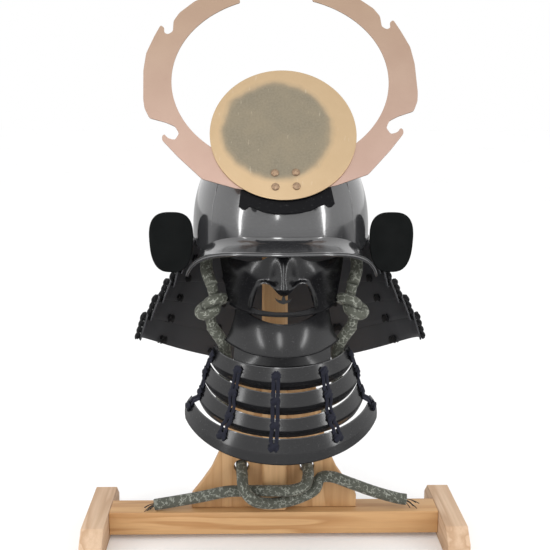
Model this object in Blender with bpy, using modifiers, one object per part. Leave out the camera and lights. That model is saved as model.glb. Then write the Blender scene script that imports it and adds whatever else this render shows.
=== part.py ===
"""A samurai helmet with its face mask and throat guard, tied to its plain wooden stand.

Metres, +Z up, the front of the mask toward -Y. The origin is on the floor under the stand's middle.
"""

import math

import bmesh
import bpy
from mathutils import Vector

CLEARANCE = 0.0003

# Stand
STAND_WIDTH = 0.478
FOOT_WIDTH = 0.028
FOOT_LENGTH = 0.170
FOOT_HEIGHT = 0.0374
FOOT_CHAMFER_RUN = 0.0196
FOOT_CHAMFER_DROP = 0.0158
BAR_DEPTH = 0.0404
BAR_HEIGHT = 0.0297
BOARD_WIDTH = 0.212
BOARD_THICKNESS = 0.014
BOARD_FRONT_Y = -0.005
BOARD_HEIGHT = 0.206
CORD_HOLE_DIAMETER = 0.0185
CORD_HOLE_X = 0.042
CORD_HOLE_HEIGHT = 0.0556
POST_WIDTH = 0.0316
POST_DEPTH = 0.0105
POST_CHAMFER = 0.003
REST_RADIUS = 0.046
REST_DEPTH = 0.034
REST_GAP = 0.0008

# The back board's right side from the bottom up, as shares of its half width and its height.
BOARD_SIDE = (
    {"x": 1.00, "up": 0.00},
    {"x": 1.00, "up": 0.08},
    {"x": 0.88, "up": 0.16},
    {"x": 0.76, "up": 0.25},
    {"x": 0.67, "up": 0.35},
    {"x": 0.61, "up": 0.46},
    {"x": 0.57, "up": 0.60},
    {"x": 0.52, "up": 0.74},
    {"x": 0.42, "up": 0.87},
    {"x": 0.24, "up": 0.97},
)

# Helmet
HELMET_X = 0.0066
HELMET_Y = -0.0125
BOWL_WIDTH = 0.212
BOWL_LENGTH = 0.236
BOWL_WALL = 0.0025
BOWL_RIM_Z = 0.385
BOWL_HEIGHT = 0.140
BOWL_ROUNDNESS = 2.3
BROW_RISE = 0.0155
BROW_HALF_ANGLE = math.radians(62)
PEAK_HALF_ANGLE = math.radians(66)
PEAK_REACH = 0.024
PEAK_SIDE_REACH = 0.0155
PEAK_DROP = 0.0072
PEAK_TIP_DROP = 0.038
PEAK_DROOP = 3.2
PEAK_WALL = 0.002
# How far the peak's inner edge stands off the bowl in the middle, and how much more at its tips, as shares of
# its wall
PEAK_SEAT = 0.35
PEAK_SEAT_MORE = 0.40
TURNBACK_WIDTH = 0.0515
TURNBACK_HEIGHT = 0.072
TURNBACK_THICKNESS = 0.003
TURNBACK_RISE = 0.0055
TURNBACK_TAPER = 0.09
# The exponents of its rounded outline: lower is squarer
TURNBACK_SIDE_POWER = 0.70
TURNBACK_END_POWER = 0.75

# Neck guard
NECK_FRONT_Y = -0.033
NECK_FRONT_DROP = 0.115
NECK_BACK_DROP = 0.197
NECK_SIDE_FLARE = 0.066
NECK_BACK_FLARE = 0.044
NECK_SWEEP = 1.6
NECK_WALL = 0.002
NECK_LAP = 0.008
NECK_STEP = 0.0027
# Where the lacing columns run, as shares of the turn from the back to the front ends
NECK_LACES = (-0.96, -0.62, -0.31, 0, 0.31, 0.62, 0.96)
LACE_RADIUS = 0.0024
# Each lame's lower edge, top lame first, as shares of the drop at the front ends, the drop at the back
# and the flare.
NECK_LAMES = (
    {"front": 0.29, "back": 0.20, "flare": 0.24},
    {"front": 0.43, "back": 0.40, "flare": 0.38},
    {"front": 0.60, "back": 0.60, "flare": 0.59},
    {"front": 0.79, "back": 0.80, "flare": 0.81},
    {"front": 1.00, "back": 1.00, "flare": 1.00},
)

# Crest
CREST_BELOW_TOP = 0.0045
CREST_LEAN = math.radians(32)
CREST_ROLL = math.radians(-1.9)
DISC_RADIUS = 0.0822
DISC_THICKNESS = 0.0015
RING_THICKNESS = 0.0015
RING_OPENING_WIDTH = 0.249
RING_OPENING_HEIGHT = 0.2256
RING_CENTRE_UP = 0.072
HOLDER_WIDTH = 0.105
HOLDER_HEIGHT = 0.048
HOLDER_DOWN = 0.097
HOLDER_THICKNESS = 0.002
HOLDER_TOP_SHARE = 0.9
# The holder's lower edge on the right, from its cusp to the middle, as shares of its half width and height
HOLDER_EDGE = (
    {"x": 1.00, "up": 0.22},
    {"x": 0.93, "up": 0.14},
    {"x": 0.86, "up": 0.13},
    {"x": 0.78, "up": 0.20},
    {"x": 0.69, "up": 0.17},
    {"x": 0.50, "up": 0.06},
    {"x": 0.25, "up": 0.01},
    {"x": 0.00, "up": 0.00},
)
RIVET_RADIUS = 0.0045
RIVET_HEIGHT = 0.002
RIVET_TOP_SHARE = 0.6
RIVET_SPACING_X = 0.0232
RIVET_SPACING_UP = 0.0169
RIVET_CENTRE_UP = -0.0577

# Mask
MASK_BELOW_RIM = 0.007
MASK_HEIGHT = 0.0595
MASK_TOP_WIDTH = 0.146
MASK_BOTTOM_WIDTH = 0.113
MASK_FRONT_Y = -0.115
MASK_TOP_SIDE_Y = -0.050
MASK_BOTTOM_SIDE_Y = -0.0817
MASK_WALL = 0.002
MASK_GAP = 0.0026
BRIDGE_RISE = 0.016
BRIDGE_WIDTH = 0.040
NOSE_REACH = 0.017
NOSE_WIDTH = 0.019
NOSE_TIP_DOWN = 0.026
CHEEK_SWELL = 0.005
CHEEK_SPREAD = 0.014
CHEEK_OUT_SHARE = 0.29
MOUTH_BAR = 0.0047
MOUTH_HEIGHT = 0.0331
MOUTH_WIDTH = 0.072
CHIN_OPENING = 0.0113
CHIN_HEIGHT = 0.033
CHIN_SIDE_RISE = 0.019
CHIN_FLARE = 0.016
CHIN_LOWER_WIDTH = 0.1334
CHIN_LOWER_SIDE_Y = -0.070
FLANGE_CHIN_SHARE = 0.93
FLANGE_HALF_ANGLE = math.radians(46)
FLANGE_LAP = 0.006
FLANGE_GAP = 0.0009
LIP_TAB_WIDTH = 0.0192
LIP_TAB_HEIGHT = 0.009
LIP_TAB_AHEAD = 0.0016
# The mouth's right half from the lower bar up to the lip's middle, as shares of its half width and height
MOUTH_EDGE = (
    {"x": 1.00, "up": 0.00},
    {"x": 0.96, "up": 0.35},
    {"x": 0.84, "up": 0.74},
    {"x": 0.74, "up": 0.94},
    {"x": 0.60, "up": 1.00},
    {"x": 0.44, "up": 0.97},
    {"x": 0.28, "up": 0.84},
    {"x": 0.14, "up": 0.66},
    {"x": 0.00, "up": 0.58},
)
# The tab under the lip, its right half from its lowest point to the top of its middle, as shares of its size
LIP_TAB_EDGE = (
    {"x": 0.00, "up": 0.00},
    {"x": 0.50, "up": 0.14},
    {"x": 0.85, "up": 0.45},
    {"x": 1.00, "up": 0.80},
    {"x": 0.60, "up": 0.50},
    {"x": 0.25, "up": 0.45},
    {"x": 0.12, "up": 1.00},
)
PEG_RADIUS = 0.0022
PEG_UP = 0.0105
PEG_END_GAP = 0.0007

# Throat guard
THROAT_BELOW_CHIN = 0.0182
THROAT_DROP = 0.103
THROAT_WIDTH = 0.228
THROAT_AHEAD = 0.005
THROAT_FLARE = 0.020
THROAT_DEPTH = 0.095
THROAT_WALL = 0.002
THROAT_HALF_ANGLE = math.radians(80)
# A lame leans out down to its knee, a share of its height, then curls in to its lower edge.
THROAT_KNEE = 0.58
THROAT_LEAN = 0.005
THROAT_CURL = 0.0065
# Each throat lame, top lame first: upper and lower edge at the middle and at the tips as shares of the drop,
# its width at the upper edge and how much wider the lower one is, its front and how far back its tips lie, as
# shares of the width, the flare and the depth, and its share of the curl.
THROAT_LAMES = (
    {
        "top": -0.045, "low": 0.22, "tip_top": -0.15, "tip_low": 0.10,
        "wide": 0.695, "wider": 0.025, "flare": 0.00, "deep": 0.64, "curl": 1,
    },
    {
        "top": 0.230, "low": 0.49, "tip_top": 0.05, "tip_low": 0.35,
        "wide": 0.775, "wider": 0.025, "flare": 0.25, "deep": 0.84, "curl": 1,
    },
    {
        "top": 0.505, "low": 0.73, "tip_top": 0.28, "tip_low": 0.60,
        "wide": 0.832, "wider": 0.025, "flare": 0.50, "deep": 0.91, "curl": 1,
    },
    {
        "top": 0.717, "low": 1.00, "tip_top": 0.515, "tip_low": 0.66,
        "wide": 0.957, "wider": 0.040, "flare": 0.75, "deep": 1.01, "curl": 0,
    },
)
LACE_RISE = 0.0045
THROAT_LACE_ANGLES = (-73, -37, -5.5, 33, 73)

# Chin cord
CORD_RADIUS = 0.00725
CORD_POINT_SPACING = 0.018
KNOT_RADIUS = 0.0195
KNOT_DEPTH_SHARE = 0.8
KNOT_LENGTH = 0.042
KNOT_X = 0.082
KNOT_Y = -0.066
KNOT_BELOW_RIM = 0.064
KNOT_END_GAP = 0.004
CROWN_CORD_UP = 0.017
CROWN_HALF_ANGLE = math.radians(92)
# The right side's route in the helmet's frame, heights from the bowl's rim: up from the knot, then down
# behind the throat lames. The left side mirrors it.
CORD_UP_TO_BOWL = (
    {"x": 0.0885, "y": -0.0500, "up": -0.0230},
    {"x": 0.0885, "y": -0.0350, "up": 0.0010},
)
CORD_BEHIND_LAMES = (
    {"x": 0.0680, "y": -0.0570, "up": -0.1150},
    {"x": 0.0675, "y": -0.0480, "up": -0.1410},
    {"x": 0.0690, "y": -0.0260, "up": -0.1670},
    {"x": 0.0740, "y": 0.0060, "up": -0.1890},
)
# The rest in the stand's frame, heights from the top of the bar: behind the board to its hole, mirrored too,
# then each end's own way through the hole and the half knot to its tail.
CORD_BEHIND_BOARD = (
    {"x": 0.0660, "y": 0.0210, "up": 0.1346},
    {"x": 0.0550, "y": 0.0290, "up": 0.1076},
    {"x": 0.0450, "y": 0.0310, "up": 0.0816},
    {"x": 0.0420, "y": 0.0220, "up": 0.0591},
)
CORD_LEFT_FRONT = (
    {"x": -0.0420, "y": 0.0020, "up": 0.0562},
    {"x": -0.0410, "y": -0.0200, "up": 0.0516},
    {"x": -0.0385, "y": -0.0400, "up": 0.0396},
    {"x": -0.0260, "y": -0.0430, "up": 0.0256},
    {"x": -0.0080, "y": -0.0300, "up": 0.0161},
    {"x": 0.0120, "y": -0.0260, "up": 0.0161},
    {"x": 0.0320, "y": -0.0260, "up": 0.0221},
    {"x": 0.0510, "y": -0.0235, "up": 0.0316},
    {"x": 0.0585, "y": -0.0170, "up": 0.0446},
    {"x": 0.0740, "y": -0.0215, "up": 0.0476},
    {"x": 0.0960, "y": -0.0220, "up": 0.0396},
    {"x": 0.1280, "y": -0.0170, "up": 0.0256},
    {"x": 0.1580, "y": -0.0120, "up": 0.0146},
    {"x": 0.1700, "y": -0.0120, "up": 0.0126},
)
CORD_RIGHT_FRONT = (
    {"x": 0.0420, "y": 0.0020, "up": 0.0562},
    {"x": 0.0430, "y": -0.0200, "up": 0.0526},
    {"x": 0.0380, "y": -0.0390, "up": 0.0441},
    {"x": 0.0230, "y": -0.0390, "up": 0.0376},
    {"x": 0.0040, "y": -0.0290, "up": 0.0326},
    {"x": -0.0200, "y": -0.0250, "up": 0.0311},
    {"x": -0.0400, "y": -0.0240, "up": 0.0306},
    {"x": -0.0620, "y": -0.0240, "up": 0.0296},
    {"x": -0.0930, "y": -0.0180, "up": 0.0206},
    {"x": -0.1200, "y": -0.0130, "up": 0.0136},
    {"x": -0.1530, "y": -0.0120, "up": 0.0076},
)

# Colours: linear RGB, roughness, metallic
PINE = ((0.66, 0.42, 0.22), 0.55, 0.0)
BLACK_LACQUER = ((0.012, 0.012, 0.014), 0.18, 0.0)
MATTE_BLACK = ((0.008, 0.008, 0.009), 0.75, 0.0)
COPPER = ((0.62, 0.42, 0.33), 0.38, 1.0)
BRASS = ((0.62, 0.47, 0.26), 0.45, 1.0)
NAVY = ((0.02, 0.025, 0.05), 0.85, 0.0)
CORD_GREEN = ((0.14, 0.16, 0.13), 0.8, 0.0)

BAR_TOP_Z = FOOT_HEIGHT
BAR_LENGTH = STAND_WIDTH - 2 * FOOT_WIDTH - 2 * CLEARANCE
BOARD_BOTTOM_Z = BAR_TOP_Z + CLEARANCE
CORD_HOLE_Z = BOARD_BOTTOM_Z + CORD_HOLE_HEIGHT
POST_FRONT_Y = BOARD_FRONT_Y - CLEARANCE - POST_DEPTH
MASK_TOP_Z = BOWL_RIM_Z - MASK_BELOW_RIM
MASK_BOTTOM_Z = MASK_TOP_Z - MASK_HEIGHT
NOSE_TIP_Z = MASK_TOP_Z - NOSE_TIP_DOWN
PEG_Z = MASK_BOTTOM_Z + PEG_UP
KNOT_Z = BOWL_RIM_Z - KNOT_BELOW_RIM
CROWN_CORD_Z = BOWL_RIM_Z + CROWN_CORD_UP
CHIN_TOP_Z = MASK_BOTTOM_Z - CHIN_OPENING
THROAT_TOP_Z = CHIN_TOP_Z - CHIN_HEIGHT - THROAT_BELOW_CHIN
THROAT_FRONT_Y = MASK_FRONT_Y - THROAT_AHEAD

# A copper ring's right half in its own plane, up from the disc's centre. Each point is the share of the
# opening's half width and of its half height.
RING_OUTER = (
    {"x": 0.370, "up": 1.800},
    {"x": 0.560, "up": 1.730},
    {"x": 0.779, "up": 1.605},
    {"x": 0.920, "up": 1.470},
    {"x": 0.976, "up": 1.370},
    {"x": 0.984, "up": 1.240},
    {"x": 1.030, "up": 1.205},
    {"x": 1.065, "up": 1.228},
    {"x": 1.063, "up": 1.290},
    {"x": 1.098, "up": 1.321},
    {"x": 1.155, "up": 1.192},
    {"x": 1.232, "up": 0.984},
    {"x": 1.257, "up": 0.780},
    {"x": 1.257, "up": 0.443},
    {"x": 1.245, "up": 0.337},
    {"x": 1.200, "up": 0.223},
    {"x": 1.052, "up": 0.168},
    {"x": 0.967, "up": 0.118},
    {"x": 0.935, "up": 0.040},
    {"x": 0.972, "up": -0.031},
    {"x": 1.036, "up": -0.009},
    {"x": 1.064, "up": 0.037},
    {"x": 1.086, "up": 0.022},
    {"x": 1.088, "up": -0.027},
    {"x": 0.952, "up": -0.213},
    {"x": 0.867, "up": -0.315},
    {"x": 0.737, "up": -0.470},
    {"x": 0.450, "up": -0.580},
    {"x": 0.000, "up": -0.680},
)
RING_TIP_ANGLE = math.radians(20)


def material(name, look):
    """A plain material of one colour."""
    colour, roughness, metallic = look
    made = bpy.data.materials.get(name)
    if made:
        return made
    made = bpy.data.materials.new(name)
    made.use_nodes = True
    shader = made.node_tree.nodes["Principled BSDF"]
    shader.inputs["Base Color"].default_value = (*colour, 1)
    shader.inputs["Roughness"].default_value = roughness
    shader.inputs["Metallic"].default_value = metallic
    return made


def finish(name, data, look, parent=None, location=(0, 0, 0)):
    """Put the shape in the scene as one named part."""
    part = bpy.data.objects.new(name, data)
    PARTS.objects.link(part)
    part.location = location
    part.parent = parent
    data.materials.append(material(*look))
    return part


def sheet(name, across, down, place, look, wall, outward=False, parent=None, closed=False):
    """A grid bent into a thin shell: place(u, v) gives each point, u and v from 0 to 1."""
    grid = bmesh.new()
    bmesh.ops.create_grid(grid, x_segments=across, y_segments=down, size=0.5)
    for vertex in grid.verts:
        vertex.co = place(vertex.co.x + 0.5, vertex.co.y + 0.5)
    if closed:
        bmesh.ops.remove_doubles(grid, verts=grid.verts, dist=1e-6)
    mesh = bpy.data.meshes.new(name)
    grid.to_mesh(mesh)
    grid.free()
    mesh.shade_smooth()
    part = finish(name, mesh, look, parent)
    solid = part.modifiers.new("wall", "SOLIDIFY")
    solid.thickness = wall
    solid.offset = 1 if outward else -1
    return part


def box(name, size, centre, look, parent=None):
    """A box with its middle at the centre."""
    shape = bmesh.new()
    bmesh.ops.create_cube(shape, size=1)
    bmesh.ops.scale(shape, vec=size, verts=shape.verts)
    mesh = bpy.data.meshes.new(name)
    shape.to_mesh(mesh)
    shape.free()
    return finish(name, mesh, look, parent, centre)


def outline_plate(name, outline, thickness, look, parent=None, location=(0, 0, 0), rotation=(0, 0, 0)):
    """A flat plate with this outline, extruded both ways by half its thickness."""
    curve = bpy.data.curves.new(name, "CURVE")
    curve.dimensions = "2D"
    curve.fill_mode = "BOTH"
    curve.extrude = thickness / 2
    spline = curve.splines.new("POLY")
    spline.points.add(len(outline) - 1)
    for point, (x, y) in zip(spline.points, outline):
        point.co = (x, y, 0, 1)
    spline.use_cyclic_u = True
    part = finish(name, curve, look, parent, location)
    part.rotation_euler = rotation
    return part


def tube(name, points, radius, look, parent=None, resolution=2):
    """A round bar along the points."""
    curve = bpy.data.curves.new(name, "CURVE")
    curve.dimensions = "3D"
    curve.bevel_depth = radius
    curve.bevel_resolution = resolution
    curve.use_fill_caps = True
    spline = curve.splines.new("POLY")
    spline.points.add(len(points) - 1)
    for point, place in zip(spline.points, points):
        point.co = (*place, 1)
    return finish(name, curve, look, parent)


def turned(name, profile, look, parent=None, location=(0, 0, 0), steps=24):
    """A profile of (radius, height) from top to bottom, turned about Z."""
    mesh = bpy.data.meshes.new(name)
    edges = [(i, i + 1) for i in range(len(profile) - 1)]
    mesh.from_pydata([(radius, 0, height) for radius, height in profile], edges, [])
    part = finish(name, mesh, look, parent, location)
    screw = part.modifiers.new("turn", "SCREW")
    screw.steps = steps
    screw.render_steps = steps
    screw.use_merge_vertices = True
    screw.merge_threshold = 0.0001
    return part


def as_mesh(part):
    """The part as a welded mesh, so that it can be cut."""
    bpy.context.view_layer.update()
    evaluated = part.evaluated_get(bpy.context.evaluated_depsgraph_get())
    mesh = bpy.data.meshes.new_from_object(evaluated)
    weld = bmesh.new()
    weld.from_mesh(mesh)
    bmesh.ops.remove_doubles(weld, verts=weld.verts, dist=1e-6)
    weld.to_mesh(mesh)
    weld.free()
    name, parent, home = part.name, part.parent, part.users_collection[0]
    rotation, location = part.rotation_euler.copy(), part.location.copy()
    bpy.data.objects.remove(part)
    made = bpy.data.objects.new(name, mesh)
    home.objects.link(made)
    made.parent = parent
    made.rotation_euler = rotation
    made.location = location
    return made


def cut(part, cutter):
    """Cut the cutter's shape from the part, and keep the cutter as a hidden guide."""
    PARTS.objects.unlink(cutter)
    CUTTERS.objects.link(cutter)
    cutter.hide_render = True
    cutter.display_type = "WIRE"
    boolean = part.modifiers.new("cut", "BOOLEAN")
    boolean.operation = "DIFFERENCE"
    boolean.solver = "EXACT"
    boolean.object = cutter


def smooth_route(points, spacing):
    """Points about this far apart on a smooth curve through the route's own points."""
    route = [Vector(point) for point in points]
    ends = [2 * route[0] - route[1]] + route + [2 * route[-1] - route[-2]]
    fine = []
    for before, start, end, after in zip(ends, ends[1:], ends[2:], ends[3:]):
        for step in range(24):
            t = step / 24
            fine.append(
                0.5
                * (
                    2 * start
                    + (end - before) * t
                    + (2 * before - 5 * start + 4 * end - after) * t * t
                    + (3 * start - before - 3 * end + after) * t**3
                )
            )
    fine.append(route[-1])
    length = sum((b - a).length for a, b in zip(fine, fine[1:]))
    count = max(2, round(length / spacing))
    chosen = [fine[0]]
    walked = 0
    for a, b in zip(fine, fine[1:]):
        walked += (b - a).length
        if walked >= length * len(chosen) / count and len(chosen) < count:
            chosen.append(b)
    return chosen + [fine[-1]]


def mirrored(points):
    """The same points on the other side of the middle."""
    return [(-x, y, z) for x, y, z in points]


def bowl_size(z):
    """The bowl's outer half width and half length at this height, as one share of the full ones."""
    shoulder = BOWL_RIM_Z + BROW_RISE
    rise = max(0.0, (z - shoulder) / (BOWL_HEIGHT - BROW_RISE))
    return (1 - min(rise, 1.0) ** BOWL_ROUNDNESS) ** (1 / BOWL_ROUNDNESS)


def rim_height(angle):
    """The bowl's lower edge, higher over the brow: the angle is from the front."""
    turn = min(abs(angle) / BROW_HALF_ANGLE, 1)
    return BOWL_RIM_Z + BROW_RISE * 0.5 * (1 + math.cos(math.pi * turn))


def bowl_point(angle, z, stand_off=0.0):
    """A point on the bowl's outside at an angle from the front, set off outward."""
    size = bowl_size(z)
    return Vector(
        (
            (BOWL_WIDTH / 2 * size + stand_off) * math.sin(angle),
            -(BOWL_LENGTH / 2 * size + stand_off) * math.cos(angle),
            z,
        )
    )


def make_stand():
    look = ("pine", PINE)
    half = FOOT_LENGTH / 2
    side_z = FOOT_HEIGHT - FOOT_CHAMFER_DROP
    foot = [
        (-half, 0),
        (half, 0),
        (half, side_z),
        (half - FOOT_CHAMFER_RUN, FOOT_HEIGHT),
        (FOOT_CHAMFER_RUN - half, FOOT_HEIGHT),
        (-half, side_z),
    ]
    foot_x = (STAND_WIDTH - FOOT_WIDTH) / 2
    turn = (math.pi / 2, 0, math.pi / 2)
    outline_plate("foot_left", foot, FOOT_WIDTH, look, location=(-foot_x, 0, 0), rotation=turn)
    outline_plate("foot_right", foot, FOOT_WIDTH, look, location=(foot_x, 0, 0), rotation=turn)
    bar_z = BAR_TOP_Z - BAR_HEIGHT / 2
    box("crossbar", (BAR_LENGTH, BAR_DEPTH, BAR_HEIGHT), (0, 0, bar_z), look)


def make_board():
    look = ("pine", PINE)
    half = BOARD_WIDTH / 2
    side = [(half * row["x"], BOARD_HEIGHT * row["up"]) for row in BOARD_SIDE]
    outline = side + [(0, BOARD_HEIGHT)] + [(-x, up) for x, up in reversed(side)]
    middle_y = BOARD_FRONT_Y + BOARD_THICKNESS / 2
    turn = (math.pi / 2, 0, 0)
    place = (0, middle_y, BOARD_BOTTOM_Z)
    board = as_mesh(
        outline_plate("back_board", outline, BOARD_THICKNESS, look, location=place, rotation=turn)
    )
    for side_name, x in (("left", -CORD_HOLE_X), ("right", CORD_HOLE_X)):
        hole = bmesh.new()
        bmesh.ops.create_cone(
            hole,
            cap_ends=True,
            segments=20,
            radius1=CORD_HOLE_DIAMETER / 2,
            radius2=CORD_HOLE_DIAMETER / 2,
            depth=3 * BOARD_THICKNESS,
        )
        mesh = bpy.data.meshes.new(f"cord_hole_{side_name}")
        hole.to_mesh(mesh)
        hole.free()
        cutter = finish(f"cord_hole_{side_name}", mesh, look, location=(x, middle_y, CORD_HOLE_Z))
        cutter.rotation_euler = turn
        cut(board, cutter)


def make_post():
    """The post stands on the bar before the board, and its rest carries the bowl from inside."""
    look = ("pine", PINE)
    rest_top = BOWL_RIM_Z + BOWL_HEIGHT - BOWL_WALL - REST_GAP
    rest_bottom = rest_top - REST_DEPTH
    half, middle_y = POST_WIDTH / 2, POST_FRONT_Y + POST_DEPTH / 2
    front, back = -POST_DEPTH / 2, POST_DEPTH / 2
    outline = [
        (-half, back),
        (-half, front + POST_CHAMFER),
        (-half + POST_CHAMFER, front),
        (half - POST_CHAMFER, front),
        (half, front + POST_CHAMFER),
        (half, back),
    ]
    foot_z, head_z = BAR_TOP_Z + CLEARANCE, rest_bottom - CLEARANCE
    place = (0, middle_y, (foot_z + head_z) / 2)
    outline_plate("post", outline, head_z - foot_z, look, location=place)
    profile = [(0, rest_top)]
    for share in (0.25, 0.5, 0.75, 1):
        radius = REST_RADIUS * share
        profile.append((radius, dome_inside(radius)))
    profile += [(REST_RADIUS, rest_bottom), (0, rest_bottom)]
    turned("head_rest", profile, look, parent=HELMET)


def dome_inside(radius):
    """The height just under the bowl's inside at this radius."""
    size = radius / (BOWL_WIDTH / 2)
    rise = (1 - size**BOWL_ROUNDNESS) ** (1 / BOWL_ROUNDNESS)
    shoulder = BOWL_RIM_Z + BROW_RISE
    outside = shoulder + (BOWL_HEIGHT - BROW_RISE) * rise
    return outside - BOWL_WALL * (1 + size) - REST_GAP


def make_bowl():
    look = ("black_lacquer", BLACK_LACQUER)

    def bowl(u, v):
        angle = 2 * math.pi * u
        turn = angle if angle <= math.pi else angle - 2 * math.pi
        low = rim_height(turn)
        high = BOWL_RIM_Z + BOWL_HEIGHT
        return bowl_point(turn, low + (high - low) * math.sin(v * math.pi / 2))

    sheet("bowl", 40, 9, bowl, look, BOWL_WALL, parent=HELMET, closed=True)

    def peak(u, v):
        angle = (2 * u - 1) * PEAK_HALF_ANGLE
        share = abs(2 * u - 1)
        seat = CLEARANCE + PEAK_WALL * (PEAK_SEAT + PEAK_SEAT_MORE * share)
        inner = bowl_point(angle, BOWL_RIM_Z + BROW_RISE, seat)
        inner.z -= (PEAK_TIP_DROP - PEAK_DROP) * share**PEAK_DROOP
        reach = PEAK_REACH + (PEAK_SIDE_REACH - PEAK_REACH) * share**2
        outer = bowl_point(angle, BOWL_RIM_Z + BROW_RISE, reach)
        outer.z -= PEAK_DROP + PEAK_TIP_DROP * share**PEAK_DROOP
        return inner.lerp(outer, v)

    sheet("brow_peak", 28, 3, peak, look, PEAK_WALL, parent=HELMET)


def make_turnbacks():
    look = ("matte_black", MATTE_BLACK)
    outline = []
    for step in range(28):
        angle = 2 * math.pi * step / 28
        x = math.copysign(abs(math.cos(angle)) ** TURNBACK_SIDE_POWER, math.cos(angle))
        up = math.copysign(abs(math.sin(angle)) ** TURNBACK_END_POWER, math.sin(angle))
        width = TURNBACK_WIDTH / 2 * (1 + TURNBACK_TAPER * up)
        outline.append((width * x, TURNBACK_HEIGHT / 2 * up))
    y = NECK_FRONT_Y - 3 * CLEARANCE - TURNBACK_THICKNESS / 2
    beside = BOWL_WIDTH / 2 * math.sqrt(1 - (NECK_FRONT_Y / (BOWL_LENGTH / 2)) ** 2)
    x = beside + 2 * CLEARANCE + TURNBACK_WIDTH / 2 * (1 + TURNBACK_TAPER)
    turn = (math.pi / 2, 0, 0)
    for side_name, side in (("left", -1), ("right", 1)):
        outline_plate(
            f"turnback_{side_name}",
            outline,
            TURNBACK_THICKNESS,
            look,
            parent=HELMET,
            location=(side * x, y, BOWL_RIM_Z + TURNBACK_RISE),
            rotation=turn,
        )


def neck_edges(index):
    """The upper and lower edge of a neck lame: front drop, back drop, side radius, back radius."""
    row = NECK_LAMES[index]
    side, back = BOWL_WIDTH / 2 + CLEARANCE, BOWL_LENGTH / 2 + CLEARANCE
    low = {
        "front": NECK_FRONT_DROP * row["front"],
        "back": NECK_BACK_DROP * row["back"],
        "side": side + NECK_SIDE_FLARE * row["flare"],
        "rear": back + NECK_BACK_FLARE * row["flare"],
    }
    if index == 0:
        return {"front": -NECK_LAP, "back": -NECK_LAP, "side": side, "rear": back}, low
    above = neck_edges(index - 1)[1]
    high = {
        "front": above["front"] - NECK_LAP,
        "back": above["back"] - NECK_LAP,
        "side": above["side"] + NECK_STEP,
        "rear": above["rear"] + NECK_STEP,
    }
    return high, low


def neck_point(index, turn, v, stand_off=0.0):
    """A point on a neck lame: turn is the angle from the back, v runs from its top to its bottom."""
    high, low = neck_edges(index)
    side = high["side"] + (low["side"] - high["side"]) * v + stand_off
    rear = high["rear"] + (low["rear"] - high["rear"]) * v + stand_off
    last = math.acos(NECK_FRONT_Y / rear)
    angle = turn * last
    ahead = ((math.cos(angle) - math.cos(last)) / (1 - math.cos(last))) ** NECK_SWEEP
    front_drop = high["front"] + (low["front"] - high["front"]) * v
    back_drop = high["back"] + (low["back"] - high["back"]) * v
    drop = front_drop + (back_drop - front_drop) * ahead
    return Vector((side * math.sin(angle), rear * math.cos(angle), BOWL_RIM_Z - drop))


def make_neck_guard():
    look = ("black_lacquer", BLACK_LACQUER)
    for index in range(len(NECK_LAMES)):

        def lame(u, v, index=index):
            return neck_point(index, 1 - 2 * u, 1 - v)

        sheet(f"neck_lame_{index + 1}", 24, 2, lame, look, NECK_WALL, outward=True, parent=HELMET)
    off = NECK_WALL + LACE_RADIUS + 2 * CLEARANCE
    for number, turn in enumerate(NECK_LACES, start=1):
        route = []
        for index in range(len(NECK_LAMES)):
            route.append(neck_point(index, turn, -0.08, off))
            route.append(neck_point(index, turn, 0.55, off))
        tube(f"neck_lace_{number}", route, LACE_RADIUS, ("navy", NAVY), HELMET, resolution=1)


def ring_ellipse(angle):
    """A point round the ring's opening, the angle from straight up."""
    return (
        RING_OPENING_WIDTH / 2 * math.sin(angle),
        RING_CENTRE_UP + RING_OPENING_HEIGHT / 2 * math.cos(angle),
    )


def crest_plane_y(z):
    """Where the disc's front is at this height, when the holder behind it rests on the bowl's front."""
    rise, run = math.sin(CREST_LEAN), math.cos(CREST_LEAN)
    reach = 0
    for step in range(100):
        bowl_z = BOWL_RIM_Z + BROW_RISE + (BOWL_HEIGHT - BROW_RISE) * step / 100
        reach = max(reach, BOWL_LENGTH / 2 * bowl_size(bowl_z) * run + bowl_z * rise)
    stack = DISC_THICKNESS + RING_THICKNESS + HOLDER_THICKNESS + 3 * CLEARANCE
    return (z * rise - reach - stack) / run


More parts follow.
